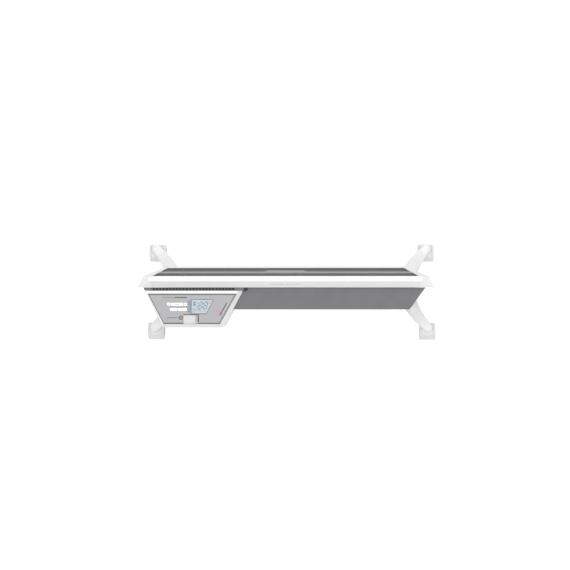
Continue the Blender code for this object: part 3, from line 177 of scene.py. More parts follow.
def powder_coat(name, colour, roughness, peel=0.00001, coat=0.15, specular=0.5):
    """Baked enamel: faint orange peel, soft cloudiness, polished in places and rubbed at the edges."""
    surface = Surface(name, colour, roughness, coat=coat, specular=specular)
    surface.clouds(0.11, 3.0, 1.0, lighter(colour, 0.975))
    surface.wear(0.0008, lighter(colour, 0.82), 0.35)
    surface.sheen(0.045, 4.0, roughness - 0.06, roughness + 0.07)
    surface.bump(surface.noise(0.0026, 2.0), peel)
    surface.bump(surface.noise(0.0006, 1.0), peel * 0.3)
    return surface.done()


def moulded(name, colour, roughness, grain=0.000012, grain_size=0.0007, worn=0.35):
    """Injection-moulded plastic: spark-eroded grain, faint flow marks and handled edges."""
    surface = Surface(name, colour, roughness)
    surface.clouds(0.07, 2.0, 1.0, lighter(colour, 0.97), (1.0, 0.35, 1.0))
    surface.wear(0.0006, lighter(colour, 0.8), worn)
    surface.sheen(0.03, 4.0, roughness - 0.07, roughness + 0.08)
    surface.bump(surface.cells(grain_size), grain)
    surface.bump(surface.noise(0.018, 2.0), 0.00002)
    return surface.done()


def glossy(name, colour, roughness):
    """Polished plastic with hairline scratches and a few fingerprints."""
    surface = Surface(name, colour, roughness, coat=0.4)
    scratches = surface.noise(0.0009, 2.0, (0.06, 1.0, 1.0))
    surface.clouds(0.02, 3.0, 1.0, lighter(colour, 0.97))
    prints = surface.spread(surface.noise(0.014, 4.0), roughness, roughness + 0.14, 0.5, 0.75)
    surface.roughness(surface.sums(prints, surface.spread(scratches, 0.0, 0.05, 0.6, 0.75)))
    surface.bump(scratches, 0.000003)
    return surface.done()


def zinc(name, colour, roughness):
    """Galvanised sheet: large crystal spangle with dull and bright grains."""
    surface = Surface(name, colour, roughness, metallic=0.9)
    spangle = surface.cells(0.009, output="Color")
    surface.tint(surface.spread(spangle, 0.0, 1.0, 0.2, 0.8), lighter(colour, 0.8))
    surface.roughness(surface.spread(spangle, roughness - 0.1, roughness + 0.16, 0.2, 0.8))
    surface.bump(surface.noise(0.0012, 2.0), 0.000008)
    return surface.done()


def drawn_metal(name, colour, roughness, stretch, line=0.0012):
    """Metal with fine lines along one axis, from rolling, drawing or extrusion."""
    surface = Surface(name, colour, roughness, metallic=1.0)
    lines = surface.noise(line, 3.0, stretch)
    surface.tint(surface.spread(lines, 0.0, 0.7), lighter(colour, 0.78))
    surface.wear(0.0005, lighter(colour, 1.25), 0.8)
    surface.roughness(surface.spread(lines, roughness - 0.08, roughness + 0.12))
    surface.bump(lines, 0.000012)
    return surface.done()


def rubber(name, colour, roughness):
    """Matt rubber with bloom and a fine pitted skin."""
    surface = Surface(name, colour, roughness, specular=0.35)
    surface.clouds(0.01, 4.0, 0.6, lighter(colour, 1.9))
    surface.sheen(0.006, 3.0, roughness - 0.1, min(1.0, roughness + 0.12))
    surface.bump(surface.cells(0.0009), 0.00003)
    return surface.done()


def fired_clay(name, colour, roughness):
    surface = Surface(name, colour, roughness)
    surface.clouds(0.002, 4.0, 0.6, lighter(colour, 0.86))
    surface.bump(surface.noise(0.0007, 4.0), 0.00004)
    return surface.done()


def solder_mask(name, colour, roughness):
    """Green board with slightly raised tracks that run in two directions."""
    surface = Surface(name, colour, roughness, coat=0.3)
    along = surface.spread(surface.noise(0.0016, 0.0, (0.12, 1.0, 1.0)), 0.0, 1.0, 0.52, 0.56)
    across = surface.spread(surface.noise(0.0016, 0.0, (1.0, 0.12, 1.0)), 0.0, 1.0, 0.55, 0.59)
    tracks = surface.sums(along, across, "MAXIMUM")
    surface.tint(tracks, lighter(colour, 1.9))
    surface.bump(tracks, 0.00003)
    return surface.done()


def film(name, colour, roughness):
    """Printed satin film: a fine pearl grain under a clear skin."""
    surface = Surface(name, lighter(colour, 0.68), roughness, metallic=0.05, specular=0.3)
    surface.clouds(0.0009, 2.0, 0.5, lighter(colour, 0.64))
    surface.clouds(0.09, 2.0, 0.3, lighter(colour, 0.7))
    surface.sheen(0.0018, 3.0, roughness - 0.04, roughness + 0.06)
    surface.bump(surface.noise(0.0005, 1.0), 0.000004)
    return surface.done()


def ink(name, colour, roughness=0.4):
    """Screen print: dense colour with tiny pinholes."""
    surface = Surface(name, colour, roughness)
    surface.tint(surface.spread(surface.noise(0.0008, 3.0), 0.0, 0.35, 0.5, 0.8), lighter(colour, 1.35))
    surface.sheen(0.004, 2.0, roughness - 0.05, roughness + 0.1)
    return surface.done()


def lit(name, colour, glow):
    """Coloured translucent plastic with a lamp behind it, brighter in the middle of its grain."""
    surface = Surface(name, colour, 0.25, coat=0.3)
    surface.clouds(0.0015, 2.0, 0.4, lighter(colour, 1.25))
    surface.bump(surface.noise(0.001, 1.0), 0.000005)
    surface.glow(colour, glow)
    return surface.done()


def clear_cover(name):
    """Thin clear window: almost no colour of its own, only gloss and faint scratches."""
    surface = Surface(name, (0.86, 0.95, 0.96), 0.06)
    surface.feed(surface.shader, {"Alpha": 0.05})
    surface.roughness(surface.spread(surface.noise(0.006, 3.0, (0.2, 1.0, 1.0)), 0.04, 0.12))
    surface.bump(surface.noise(0.0008, 1.0), 0.000002)
    return surface.done()


# For each slot: its maker, a share of the record's colour, and what else the maker takes.
FINISHES = {
    "white_enamel": (powder_coat, 0.83, 0.34),
    "white_cap_plastic": (moulded, 0.9, 0.42, 0.000008),
    "white_leg_plastic": (moulded, 0.99, 0.4, 0.000008),
    "white_hood_plastic": (moulded, 0.92, 0.46),
    "wheel_plastic": (moulded, 1.0, 0.5, 0.000012, 0.0007, 0.8),
    "white_unit_plastic": (moulded, 0.84, 0.4, 0.00001, 0.0006),
    "key_plastic": (glossy, 0.88, 0.16),
    "divider_plastic": (moulded, 0.72, 0.38, 0.000006),
    "silver_panel": (film, 0.93, 0.34),
    "dark_grey_plastic": (moulded, 1.9, 0.5),
    "grey_painted_steel": (powder_coat, 0.62, 0.52, 0.000014, 0.0, 0.3),
    "dark_mesh": (powder_coat, 1.6, 0.42, 0.000006),
    "galvanised_steel": (zinc, 1.0, 0.38),
    "aluminium": (drawn_metal, 1.0, 0.34, (0.02, 1.0, 1.0)),
    "bright_steel": (drawn_metal, 1.0, 0.28, (1.0, 1.0, 0.15), 0.0007),
    "black_rubber": (rubber, 1.0, 0.72),
    "white_inner_plastic": (moulded, 1.0, 0.5),
    "ceramic": (fired_clay, 1.0, 0.5),
    "circuit_board": (solder_mask, 1.0, 0.42),
    "display_glass": (glossy, 1.0, 0.12),
    "light_diffuser": (lit, 1.0, 0.25),
}
base_colours = {row["slot"]: row["base_color"][:3] for row in record["materials"]}
finish = {
    slot: maker(slot, lighter(base_colours[slot], share), *details)
    for slot, (maker, share, *details) in FINISHES.items()
}
INK_DARK = ink("ink_dark", (0.055, 0.055, 0.06))
INK_GREY = ink("ink_grey", (0.2, 0.2, 0.21))
INK_PALE = ink("ink_pale", (0.42, 0.42, 0.42))
INK_PINK = ink("ink_pink", (0.52, 0.22, 0.3))
# Near-black rubber used as painted shade: in the groove round the panel and as the control unit's shadow on
# the housing.
SHADE_RUBBER_DARK = rubber("painted_shade_dark", (0.025, 0.025, 0.025), 0.7)
STRIP_GREY = moulded("strip_grey", (0.12, 0.12, 0.125), 0.5)
# Near-black sheet under the vent slots: painted shade inside the slots.
SLOT_SHADE_BLACK = ink("painted_slot_shade", (0.012, 0.012, 0.012), 0.9)
BORDER_GREY = ink("border_grey", (0.1, 0.1, 0.11))
LCD_PALE = lit("display_pale", (0.3, 0.36, 0.38), 0.03)
LCD_DIGIT = ink("display_digit", (0.02, 0.07, 0.19))
LCD_GHOST = ink("display_ghost", (0.05, 0.14, 0.28))
LCD_GREY = ink("display_grey", (0.1, 0.12, 0.13))
LCD_BLUE = ink("display_blue", (0.05, 0.12, 0.34))
COVER = clear_cover("display_clear")
GUIDE_BLUE = lit("guide_blue", (0.16, 0.25, 0.34), 0.02)
LAMP_BLUE = lit("lamp_blue", (0.02, 0.07, 0.2), 0.02)
TYRE_GREY = rubber("tyre_grey", (0.33, 0.33, 0.34), 0.55)
MODULE_WHITE = moulded("module_white", (0.57, 0.545, 0.54), 0.42, 0.00001, 0.0006)


# ---- Mesh tools ----


def finished(work, name="shape"):
    mesh = bpy.data.meshes.new(name)
    work.to_mesh(mesh)
    work.free()
    return mesh


def smooth(mesh, degrees=35):
    mesh.shade_smooth()
    mesh.set_sharp_from_angle(angle=radians(degrees))
    return mesh


def linked(name, data):
    obj = bpy.data.objects.new(name, data)
    bpy.context.scene.collection.objects.link(obj)
    return obj


def modified(mesh, kind, **settings):
    """The mesh as a modifier leaves it."""
    obj = linked("modified", mesh)
    modifier = obj.modifiers.new(kind, kind)
    for key, value in settings.items():
        setattr(modifier, key, value)
    bpy.context.view_layer.update()
    graph = bpy.context.evaluated_depsgraph_get()
    result = bpy.data.meshes.new_from_object(obj.evaluated_get(graph))
    bpy.data.objects.remove(obj, do_unlink=True)
    return result


def add_piece(name, mesh, slot, stands_for=(), material=None, body="heater"):
    """One visible piece that rides on a body, takes its finish from a slot and may stand for CAD nodes."""
    mesh.name = name
    mesh.materials.clear()
    mesh.materials.append(material or finish[slot])
    piece = linked(name, mesh)
    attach(piece, body)
    if stands_for:
        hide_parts(*stands_for)


def slab(points, low, high):
    """An upright prism on a flat outline."""
    work = bmesh.new()
    under = [work.verts.new((x, y, low)) for x, y in points]
    over = [work.verts.new((x, y, high)) for x, y in points]
    for index, point in enumerate(under):
        work.faces.new((under[index - 1], point, over[index], over[index - 1]))
    work.faces.new(under)
    work.faces.new(over)
    bmesh.ops.recalc_face_normals(work, faces=work.faces)
    return finished(work)


def joined(meshes):
    """One mesh out of several."""
    work = bmesh.new()
    for mesh in meshes:
        work.from_mesh(mesh)
        bpy.data.meshes.remove(mesh)
    return finished(work)


def rectangle(low, high):
    return [(low[0], low[1]), (high[0], low[1]), (high[0], high[1]), (low[0], high[1])]


def ellipse(centre, half_x, half_y, steps=24):
    turns = [2 * pi * step / steps for step in range(steps)]
    return [(centre[0] + half_x * cos(turn), centre[1] + half_y * sin(turn)) for turn in turns]


def stroke(points, width):
    """Outline of a flat line of even width through the points."""
    left, right = [], []
    places = [Vector(point) for point in points]
    for index, place in enumerate(places):
        before, after = places[max(index - 1, 0)], places[min(index + 1, len(places) - 1)]
        along = (after - before).normalized()
        across = Vector((-along.y, along.x)) * (width / 2)
        left.append(tuple(place + across))
        right.append(tuple(place - across))
    return left + right[::-1]


def rounded(points, radius, steps=5):
    """An outline with its corners rounded."""
    result = []
    count = len(points)
    for index in range(count):
        corner = Vector(points[index])
        before, after = Vector(points[index - 1]), Vector(points[(index + 1) % count])
        to_before, to_after = (before - corner).normalized(), (after - corner).normalized()
        half = to_before.angle(to_after) / 2
        reach = radius / tan(half)
        start, end = corner + to_before * reach, corner + to_after * reach
        centre = corner + (to_before + to_after).normalized() * (radius / sin(half))
        for step in range(steps + 1):
            spoke = (start - centre).slerp(end - centre, step / steps).normalized() * radius
            result.append(tuple(centre + spoke))
    return result


def turned(profile, steps=32, closed=False):
    """A solid of revolution about Z from a profile of radius and height."""
    work = bmesh.new()
    rings = []
    for radius, height in profile:
        if radius <= 0:
            rings.append([work.verts.new((0, 0, height))] * steps)
            continue
        turns = [2 * pi * step / steps for step in range(steps)]
        rings.append([work.verts.new((radius * cos(a), radius * sin(a), height)) for a in turns])
    pairs = list(zip(rings, rings[1:] + ([rings[0]] if closed else [])))
    for first, second in pairs:
        for step in range(steps):
            after = (step + 1) % steps
            corners = list(dict.fromkeys((first[step], first[after], second[after], second[step])))
            if len(corners) > 2:
                work.faces.new(corners)
    bmesh.ops.recalc_face_normals(work, faces=work.faces)
    return finished(work)


def bevelled(mesh, width, segments=3, degrees=30):
    """The mesh with its edges rounded and shaded smooth."""
    angle = radians(degrees)
    edge = {"width": width, "segments": segments, "limit_method": "ANGLE", "angle_limit": angle}
    return modified(mesh, "BEVEL", **edge, harden_normals=True)


def cut(mesh, *cutters):
    """The mesh with each cutter's shape taken away."""
    for cutter in cutters:
        tool = linked("tool", cutter)
        mesh = modified(mesh, "BOOLEAN", object=tool, operation="DIFFERENCE", solver="EXACT")
        bpy.data.objects.remove(tool, do_unlink=True)
    return mesh


def moved(mesh, place, turn=None):
    mesh.transform(Matrix.Translation(place) @ (turn or Matrix.Identity(4)))
    return mesh


def block(low, high):
    return slab(rectangle(low, high), low[2], high[2])


def merged(node):
    """The CAD node's own shape with its flat faces merged."""
    work = bmesh.new()
    work.from_mesh(frame["nodes"][node].data)
    bmesh.ops.remove_doubles(work, verts=work.verts, dist=TOUCH)
    flat = radians(0.5)
    bmesh.ops.dissolve_limit(work, angle_limit=flat, verts=work.verts, edges=work.edges, delimit={"NORMAL"})
    return work


def refine(node, width, material=None):
    """The CAD node's own shape with its faces merged and its edges rounded."""
    mesh = bevelled(smooth(finished(merged(node)), SHELL_DEGREES), width)
    add_piece(f"{node}_finished", mesh, slot_of_node[node], (node,), material, body_of_node[node])


def refine_foot(node, width):
    """The CAD node's own shape with only the edges around its underside rounded."""
    work = merged(node)
    foot = min(vert.co.z for vert in work.verts) + NEAR
    edges = [edge for edge in work.edges if max(vert.co.z for vert in edge.verts) < foot]
    edges = [edge for edge in edges if edge.calc_face_angle(0) > 1]
    bmesh.ops.bevel(
        work, geom=edges, offset=width, segments=4, profile=0.5, affect="EDGES", clamp_overlap=True
    )
    mesh = smooth(finished(work), SHELL_DEGREES)
    add_piece(f"{node}_finished", mesh, slot_of_node[node], (node,), None, body_of_node[node])


# ---- Pieces ----

EDGE_WIDTHS = {
    "front_casing": 0.0009,
    "end_cap_left": 0.0012,
    "end_cap_right": 0.0012,
    "rear_housing": 0.0008,
    "grille_divider": 0.0006,
    "unit_frame": 0.0008,
}
MODULE_EDGE = 0.0012
CASE_FOOT_EDGE = 0.002
# Vent strip.
VENT_SLOTS = 25
VENT_FIRST_X = 0.146
VENT_LAST_X = 0.369
VENT_SLOT_HALF = 0.0026
VENT_SLOT_MARGIN = 0.0005
VENT_SLANT = 0.003
VENT_CUT_REACH = 0.003
VENT_EDGE = 0.0002
# The black sheet under the slots is painted shade: how far below the strip it lies and how thick it is, and
# how far in from the strip's ends it stops.
SLOT_SHADE_DROP = 0.0015
SLOT_SHADE_MARGIN = 0.006
# Dark rounded patch on the housing beside the control unit's corner: painted shadow of the unit.
UNIT_SHADOW_LENGTH = 0.0085
UNIT_SHADOW_HALF = 0.005
UNIT_SHADOW_DROP = 0.0004
UNIT_SHADOW_EDGE = 0.0008
# Outlet.
SLOPE_EDGE_BAND = 0.0012
SCREEN_ROWS = 7
SCREEN_PITCH = 0.0052
SCREEN_HOLE = 0.00175
SCREEN_THICKNESS = 0.0008
# Control panel. A pair under EDGES is how far an outline grows and the radius of its corners.
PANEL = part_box("display_fascia")[0]
PANEL_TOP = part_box("display_fascia")[1].z
INK = 0.00006
PANEL_CORNERS = ((0.0, 0.0), (0.245, 0.0), (0.202, 0.0815), (0.045, 0.0815))
# The dark strip in the groove round the panel is painted shade in the groove.
GROOVE_SHADE_EDGES = ((0.0018, 0.0012), (0.0001, 0.0004))
GROOVE_SHADE_DEPTH = 0.0016
GROOVE_SHADE_DROP = 0.0003
LINE_EDGES = ((-0.0001, 0.0018), (-0.002, 0.0012))
BORDER_EDGES = ((0.0022, 0.0015), (0.0004, 0.0006))
PANEL_LINES = (
    ("panel_line_dark", (0.1362, 0.0074), (0.1712, 0.0104), INK_DARK),
    ("panel_line_grey", (0.1762, 0.0077), (0.205, 0.0101), INK_GREY),
)
SYMBOL_PLACE = (0.1535, 0.0656)
SYMBOL_RADII = (0.0058, 0.0032)
SYMBOL_DOT = 0.0016
SYMBOL_BAR = ((0.1618, 0.0636), (0.193, 0.0672))
SLASH = ((0.0247, 0.0242), (0.0441, 0.0589))
SLASH_WIDTH = 0.003
FINE_LINE = ((0.0208, 0.0262), (0.0352, 0.052))
FINE_LINE_WIDTH = 0.0014
# Warm-air mark: the shift, first step and steps of each wave.
WAVES = ((-0.003, 2, 12), (0.0, 0, 16), (0.003, 3, 13))
WAVE_X = 0.044
WAVE_Y = 0.0355
WAVE_STEP = 0.0016
WAVE_LEAN = 0.16
WAVE_SWING = 0.001
WAVE_TURN = 0.9
WAVE_WIDTH = 0.0017
# Display.
WINDOW_CORNERS = ((0.064, 0.0165), (0.123, 0.0165), (0.124, 0.0535), (0.083, 0.0535))
WINDOW_ROUNDING = 0.0005
DISPLAY_DROP = 0.0009
DISPLAY_AIR = 0.0004
DIGIT_LEFTS = (0.0775, 0.092)
DIGIT_WIDTH = 0.0098
DIGIT_BOTTOM = 0.0215
DIGIT_TOP = 0.0415
DIGIT_BAR = 0.0026
DIGIT_GAP = 0.65
DIGIT_SLANT = 0.22
DIGIT_BARS = (
    ("display_digits", ("top", "upper_right", "middle", "lower_left", "bottom"), LCD_DIGIT),
    ("display_ghost_bars", ("upper_left", "lower_right"), LCD_GHOST),
)
DEGREE_PLACE = (0.0725, 0.0238)
DEGREE_RADII = (0.0017, 0.0009)
LEVEL_BLOCKS = (((0.1118, 0.0208), (0.1184, 0.0256)), ((0.1118, 0.0266), (0.1184, 0.032)))
MARKS = [
    [(0.1184, 0.0385), (0.1184, 0.0465), (0.113, 0.0465)],
    [(0.116, 0.0385), (0.113, 0.0385), (0.113, 0.0425), (0.116, 0.0425)],
    [(0.11, 0.04), (0.11, 0.047)],
    [(0.09, 0.0465), (0.0925, 0.0495)],
    [(0.0975, 0.0475), (0.101, 0.0475)],
]
MARK_WIDTH = 0.0012
# Light bar and keys.
GUIDE_DROP = 0.0006
GUIDE_ROUNDING = 0.0004
LAMP_COUNT = 5
LAMP_PITCH = 0.0069
LAMP_HALF = 0.0015
LAMP_MARGIN = 0.0007
LAMP_SINK = 0.0004
LAMP_EDGE = 0.0002
KEY_PRINTS = (
    ("key_mode", rectangle((0.011, 0.0038), (0.0245, 0.0054)), INK_GREY),
    ("key_timer", stroke([(0.0028, 0.0046), (0.006, 0.0046), (0.006, 0.0072)], 0.0011), INK_DARK),
    ("key_lock", stroke([(0.0026, 0.0022), (0.0066, 0.007)], 0.0014), INK_DARK),
    ("key_warmer", stroke([(0.0085, 0.003), (0.011, 0.0056), (0.0135, 0.003)], 0.0012), INK_DARK),
    ("key_cooler", stroke([(0.0095, 0.0056), (0.012, 0.003), (0.0145, 0.0056)], 0.0012), INK_DARK),
)
# Casing.
CASING_LINES = ((0.0039, 0.0419), (-0.0408, -0.0019))
CASING_LINE_HALF = 0.0008
CASING_LINE_SHARE = 0.54
# Legs.
REAR_SWIVEL = sum(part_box("caster_stem_rear_right"), Vector()) / 2
FRONT_SWIVEL = sum(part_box("caster_stem_front_right"), Vector()) / 2
BODY_Y = (REAR_SWIVEL.y + FRONT_SWIVEL.y) / 2
SWIVEL_Y = (REAR_SWIVEL.y - FRONT_SWIVEL.y) / 2
LEG_MIDDLE_X = 0.348
LEG_END_RADIUS = 0.0136
LEG_END_REACH = 0.0015
LEG_BOW = 1.8
LEG_MIDDLE_HALF = 0.028
LEG_UNDER = (0.058, 0.0498)
LEG_UNDER_EASE = (0.05, 0.1)
LEG_OVER = (0.0797, 0.0645)
LEG_OVER_EASE = (0.06, 0.116)
LEG_TIP_DEGREES = 85
LEG_TIP_HEIGHT = 0.45
LEG_SCREW_SEAT = 0.066
LEG_SCREW_BORE = 0.0025
LEG_SCREW_ROOM = 0.0008
LEG_RING = 36
LEG_STATIONS = 20
LEG_TIP_STATIONS = 7
# Where cutters end below and above a leg, and the stem's bore, which steps at a height.
BELOW_LEG = 0.04
ABOVE_LEG = 0.1
STEM_BORES = (0.0038, 0.0039)
LEG_BORE_STEP = 0.05
# Casters.
HOOD_Y = (-0.013, 0.0385)
HOOD_Z = (0.014, 0.046)
HOOD_NOSE = 0.014
HOOD_SLANT = 0.013
HOOD_ROUNDING = 0.0055
HOOD_EDGE = 0.0035
HOOD_HALF = 0.025
HOOD_WEB = 0.0055
HOOD_BORE = (0.035, 0.0277, 0.06)
WELL_RADIUS = 0.0222
WELL_DEPTH = 0.022
AXLE_BORE_REACH = 0.004
GROOVE_X = 0.0165
GROOVE_HALF = 0.0003
GROOVE_DEPTH = 0.0004
GROOVE_REACH = 0.01
WHEEL_RADIUS = 0.0205
WHEEL_OUTER = 0.0236
WHEEL_INNER = 0.0061
TYRE_DEPTH = 0.0034
AXLE_RADIUS = 0.0025
SPOKES = 6
SPOKE_HALF = 0.0008
SPOKE_START = 0.0048
SPOKE_END = 0.0054
SPOKE_LOW = 0.003
SPOKE_HIGH = 0.0011
SPOKE_EDGE = 0.0003
# Screws: head radius, head height and shank radius, the axis they lie along and their turn about X.
SCREW_KINDS = (
    ("leg_screw", (0.0046, 0.003, 0.0022), 2, 180),
    ("housing_screw", (0.004, 0.0022, 0.0018), 1, -90),
    ("unit_lock_screw", (0.003, 0.0018, 0.0013), 2, 180),
)
SCREW_DOME = ((0.45, 0.96), (0.8, 0.74), (0.96, 0.38))
SCREW_THREAD = 0.0009
# Cable grommet.
GLAND_BORE = 0.0035
GLAND_NECK = 0.0065
GLAND_WALL = 0.0031
GLAND_FLANGE = 0.0018
GLAND_FLANGE_Z = 0.0097
GLAND_RIBS = 4
GLAND_RIB = 0.0012
GLAND_TAPER = 0.003
# Stage.
FLOOR_HALF = 9.0
FLOOR_GLOW = 0.85
SKY_STRENGTH = 0.52
LIGHT_PLACE = Vector((-0.1, -0.1, 5.4))
LIGHT_AIM = Vector((0.0, 0.0, 0.3))
LIGHT_SIZE = (4.4, 3.8)
LIGHT_POWER = 215


def refine_shells():
    for node, width in EDGE_WIDTHS.items():
        refine(node, width)
    refine("wireless_module", MODULE_EDGE, MODULE_WHITE)
    refine_foot("unit_case", CASE_FOOT_EDGE)


def vent_strip():
    """The slotted strip beside the control unit, with a black sheet under its slots as painted shade inside
    them.
    """
    low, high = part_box("vent_grille")
    outline = [(low.x, low.y), (high.x, low.y), (high.x - VENT_SLANT, high.y), (low.x + VENT_SLANT, high.y)]
    openings = []
    for index in range(VENT_SLOTS):
        x = VENT_FIRST_X + index * (VENT_LAST_X - VENT_FIRST_X) / (VENT_SLOTS - 1)
        near = (x - VENT_SLOT_HALF, low.y + VENT_SLOT_MARGIN, low.z - VENT_CUT_REACH)
        openings.append(block(near, (x + VENT_SLOT_HALF, high.y - VENT_SLOT_MARGIN, high.z + VENT_CUT_REACH)))
    strip = bevelled(cut(slab(outline, low.z, high.z), joined(openings)), VENT_EDGE, 2)
    add_piece("vent_strip", strip, "dark_grey_plastic", ("vent_grille",), STRIP_GREY)
    # Black sheet below the slots, as painted shade inside them.
    top = low.z - SLOT_SHADE_DROP
    outline = rectangle((low.x + SLOT_SHADE_MARGIN, low.y + GAP), (high.x - SLOT_SHADE_MARGIN, high.y - GAP))
    add_piece("vent_slot_shade", slab(outline, top - SLOT_SHADE_DROP, top), "dark_grey_plastic", (), SLOT_SHADE_BLACK)


def unit_corner_shadow():
    """Painted shadow of the control unit: a dark rounded patch on the housing where the vent strip ends
    beside the unit.
    """
    low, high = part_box("vent_grille")
    place = (low.x - GAP, low.y + UNIT_SHADOW_HALF)
    outline = ellipse(place, UNIT_SHADOW_LENGTH, UNIT_SHADOW_HALF, 48)
    outline = [point for point in outline if point[0] < place[0] + TOUCH]
    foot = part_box("rear_housing")[1].z
    # Dark patch on the housing, as the painted shadow of the control unit.
    mesh = bevelled(slab(outline, foot, high.z - UNIT_SHADOW_DROP), UNIT_SHADOW_EDGE)
    add_piece("painted_unit_shadow", mesh, "black_rubber", (), SHADE_RUBBER_DARK)


def edge_point(node, rear):
    """The uppermost point of a sloping node's front or rear edge."""
    low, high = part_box(node)
    points = [vert.co for vert in frame["nodes"][node].data.vertices]
    near = [point for point in points if (high.y - point.y if rear else point.y - low.y) < SLOPE_EDGE_BAND]
    return max(near, key=lambda point: (round(point.z, 5), abs(point.x)))


def outlet_screen():
    """Perforated sheet with staggered round holes, cut to the slanted ends of the outlet."""
    front, rear = edge_point("outlet_mesh", False), edge_point("outlet_mesh", True)
    half_front, half_rear = abs(front.x), abs(rear.x)
    up_slope = Vector((0, rear.y - front.y, rear.z - front.z))
    length = up_slope.length
    up_slope.normalize()
    start = Vector((0, front.y, front.z))
    row_height = length / SCREEN_ROWS
    columns = ceil(half_rear / SCREEN_PITCH) + 1
    square = [(1, 0), (1, 1), (0, 1), (-1, 1), (-1, 0), (-1, -1), (0, -1), (1, -1)]
    work = bmesh.new()

    def place(u, v):
        return start + Vector((u, 0, 0)) + up_slope * v

    for row in range(SCREEN_ROWS):
        for column in range(-columns, columns + 1):
            u = (column + 0.5 * (row % 2)) * SCREEN_PITCH
            v = (row + 0.5) * row_height
            outer, inner = [], []
            for step, (across, along) in enumerate(square):
                outer.append(work.verts.new(place(u + across * SCREEN_PITCH / 2, v + along * row_height / 2)))
                turn = radians(45 * step)
                rim = place(u + SCREEN_HOLE * cos(turn), v + SCREEN_HOLE * sin(turn))
                inner.append(work.verts.new(rim))
            for step in range(len(square)):
                work.faces.new((outer[step - 1], outer[step], inner[step], inner[step - 1]))
    bmesh.ops.remove_doubles(work, verts=work.verts, dist=NEAR)
    normal = Vector((1, 0, 0)).cross(up_slope)
    for side in (-1, 1):
        end_front, end_rear = place(side * half_front, 0), place(side * half_rear, length)
        outward = (end_rear - end_front).cross(normal) * side
        everything = work.verts[:] + work.edges[:] + work.faces[:]
        bmesh.ops.bisect_plane(work, geom=everything, plane_co=end_front, plane_no=outward, clear_outer=True)
    for face in work.faces:
        if face.normal.dot(normal) < 0:
            face.normal_flip()
    screen = modified(finished(work), "SOLIDIFY", thickness=SCREEN_THICKNESS, offset=-1.0)
    add_piece("outlet_screen", screen, "dark_mesh", ("outlet_mesh",))


def on_panel(points):
    """Places on the control panel, counted from the front corner of its box next to the heater's middle."""
    return [(PANEL.x + x, PANEL.y + y) for x, y in points]


def printed(name, outlines, colour, body="heater", top=PANEL_TOP):
    """Thin printed marks on the panel or on a key, from outlines in panel places."""
    meshes = [slab(on_panel(outline), top, top + INK) for outline in outlines]
    add_piece(name, joined(meshes), "dark_grey_plastic", (), colour, body)


def seven_segments(left, lit_bars):
    """Bars of one display digit; the reader stands at the front, so the digit's top points to the rear."""
    right, middle = left + DIGIT_WIDTH, (DIGIT_BOTTOM + DIGIT_TOP) / 2
    gap = DIGIT_BAR * DIGIT_GAP
    levels = {"top": DIGIT_TOP, "middle": middle, "bottom": DIGIT_BOTTOM}
    bars = {name: ((left + gap, y), (right - gap, y)) for name, y in levels.items()}
    for side, x in (("left", left), ("right", right)):
        bars[f"upper_{side}"] = ((x, middle + gap), (x, DIGIT_TOP - gap))
        bars[f"lower_{side}"] = ((x, DIGIT_BOTTOM + gap), (x, middle - gap))
    return [stroke(bars[name], DIGIT_BAR) for name in lit_bars]


def ring(outer, inner, low, high):
    """A flat frame between two outlines that have as many points each."""
    work = bmesh.new()
    loops = [[work.verts.new((x, y, z)) for x, y in outline] for outline, z in
             ((outer, low), (outer, high), (inner, high), (inner, low))]
    for first, second in zip(loops, loops[1:] + loops[:1]):
        for index in range(len(first)):
            work.faces.new((first[index - 1], first[index], second[index], second[index - 1]))
    bmesh.ops.recalc_face_normals(work, faces=work.faces)
    return finished(work)


def clear_of_module(mesh):
    """The mesh with room left for the plug-in module."""
    low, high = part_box("wireless_module")
    room = Vector((GAP, GAP, GAP))
    return cut(mesh, block(low - room, high + room))


def grown(points, distance):
    """A four-cornered outline with every side moved outwards by distance."""
    places = [Vector(point) for point in points]
    lines = []
    for index, place in enumerate(places):
        along = (places[(index + 1) % len(places)] - place).normalized()
        outward = Vector((along.y, -along.x))
        lines.append((place + outward * distance, along))
    result = []
    for index, (place, along) in enumerate(lines):
        other, toward = lines[index - 1]
        share = (other - place).cross(toward) / along.cross(toward)
        result.append(tuple(place + along * share))
    return result


def printed_circle(name, place, radii, steps, slot, colour, top=PANEL_TOP):
    """A thin printed circle, from its outer and inner radius."""
    outer, inner = (on_panel(ellipse(place, radius, radius, steps)) for radius in radii)
    add_piece(name, ring(outer, inner, top, top + INK), slot, (), colour)


def band(corners, edges, low, high):
    """A ring between two growths of a four-cornered outline."""
    outer, inner = (rounded(grown(corners, growth), radius) for growth, radius in edges)
    return ring(outer, inner, low, high)


def panel_groove_shade():
    """Dark strip in the groove around the panel, painted as the shade in the groove, and the thin line
    printed inside it.
    """
    corners = on_panel(PANEL_CORNERS)
    # Dark strip in the groove, as painted shade.
    groove_shade = clear_of_module(band(corners, GROOVE_SHADE_EDGES, PANEL_TOP - GROOVE_SHADE_DEPTH, PANEL_TOP - GROOVE_SHADE_DROP))
    add_piece("panel_groove_shade", groove_shade, "black_rubber", (), SHADE_RUBBER_DARK)
    line = clear_of_module(band(corners, LINE_EDGES, PANEL_TOP, PANEL_TOP + INK))
    add_piece("panel_edge_line", line, "dark_grey_plastic", (), BORDER_GREY)


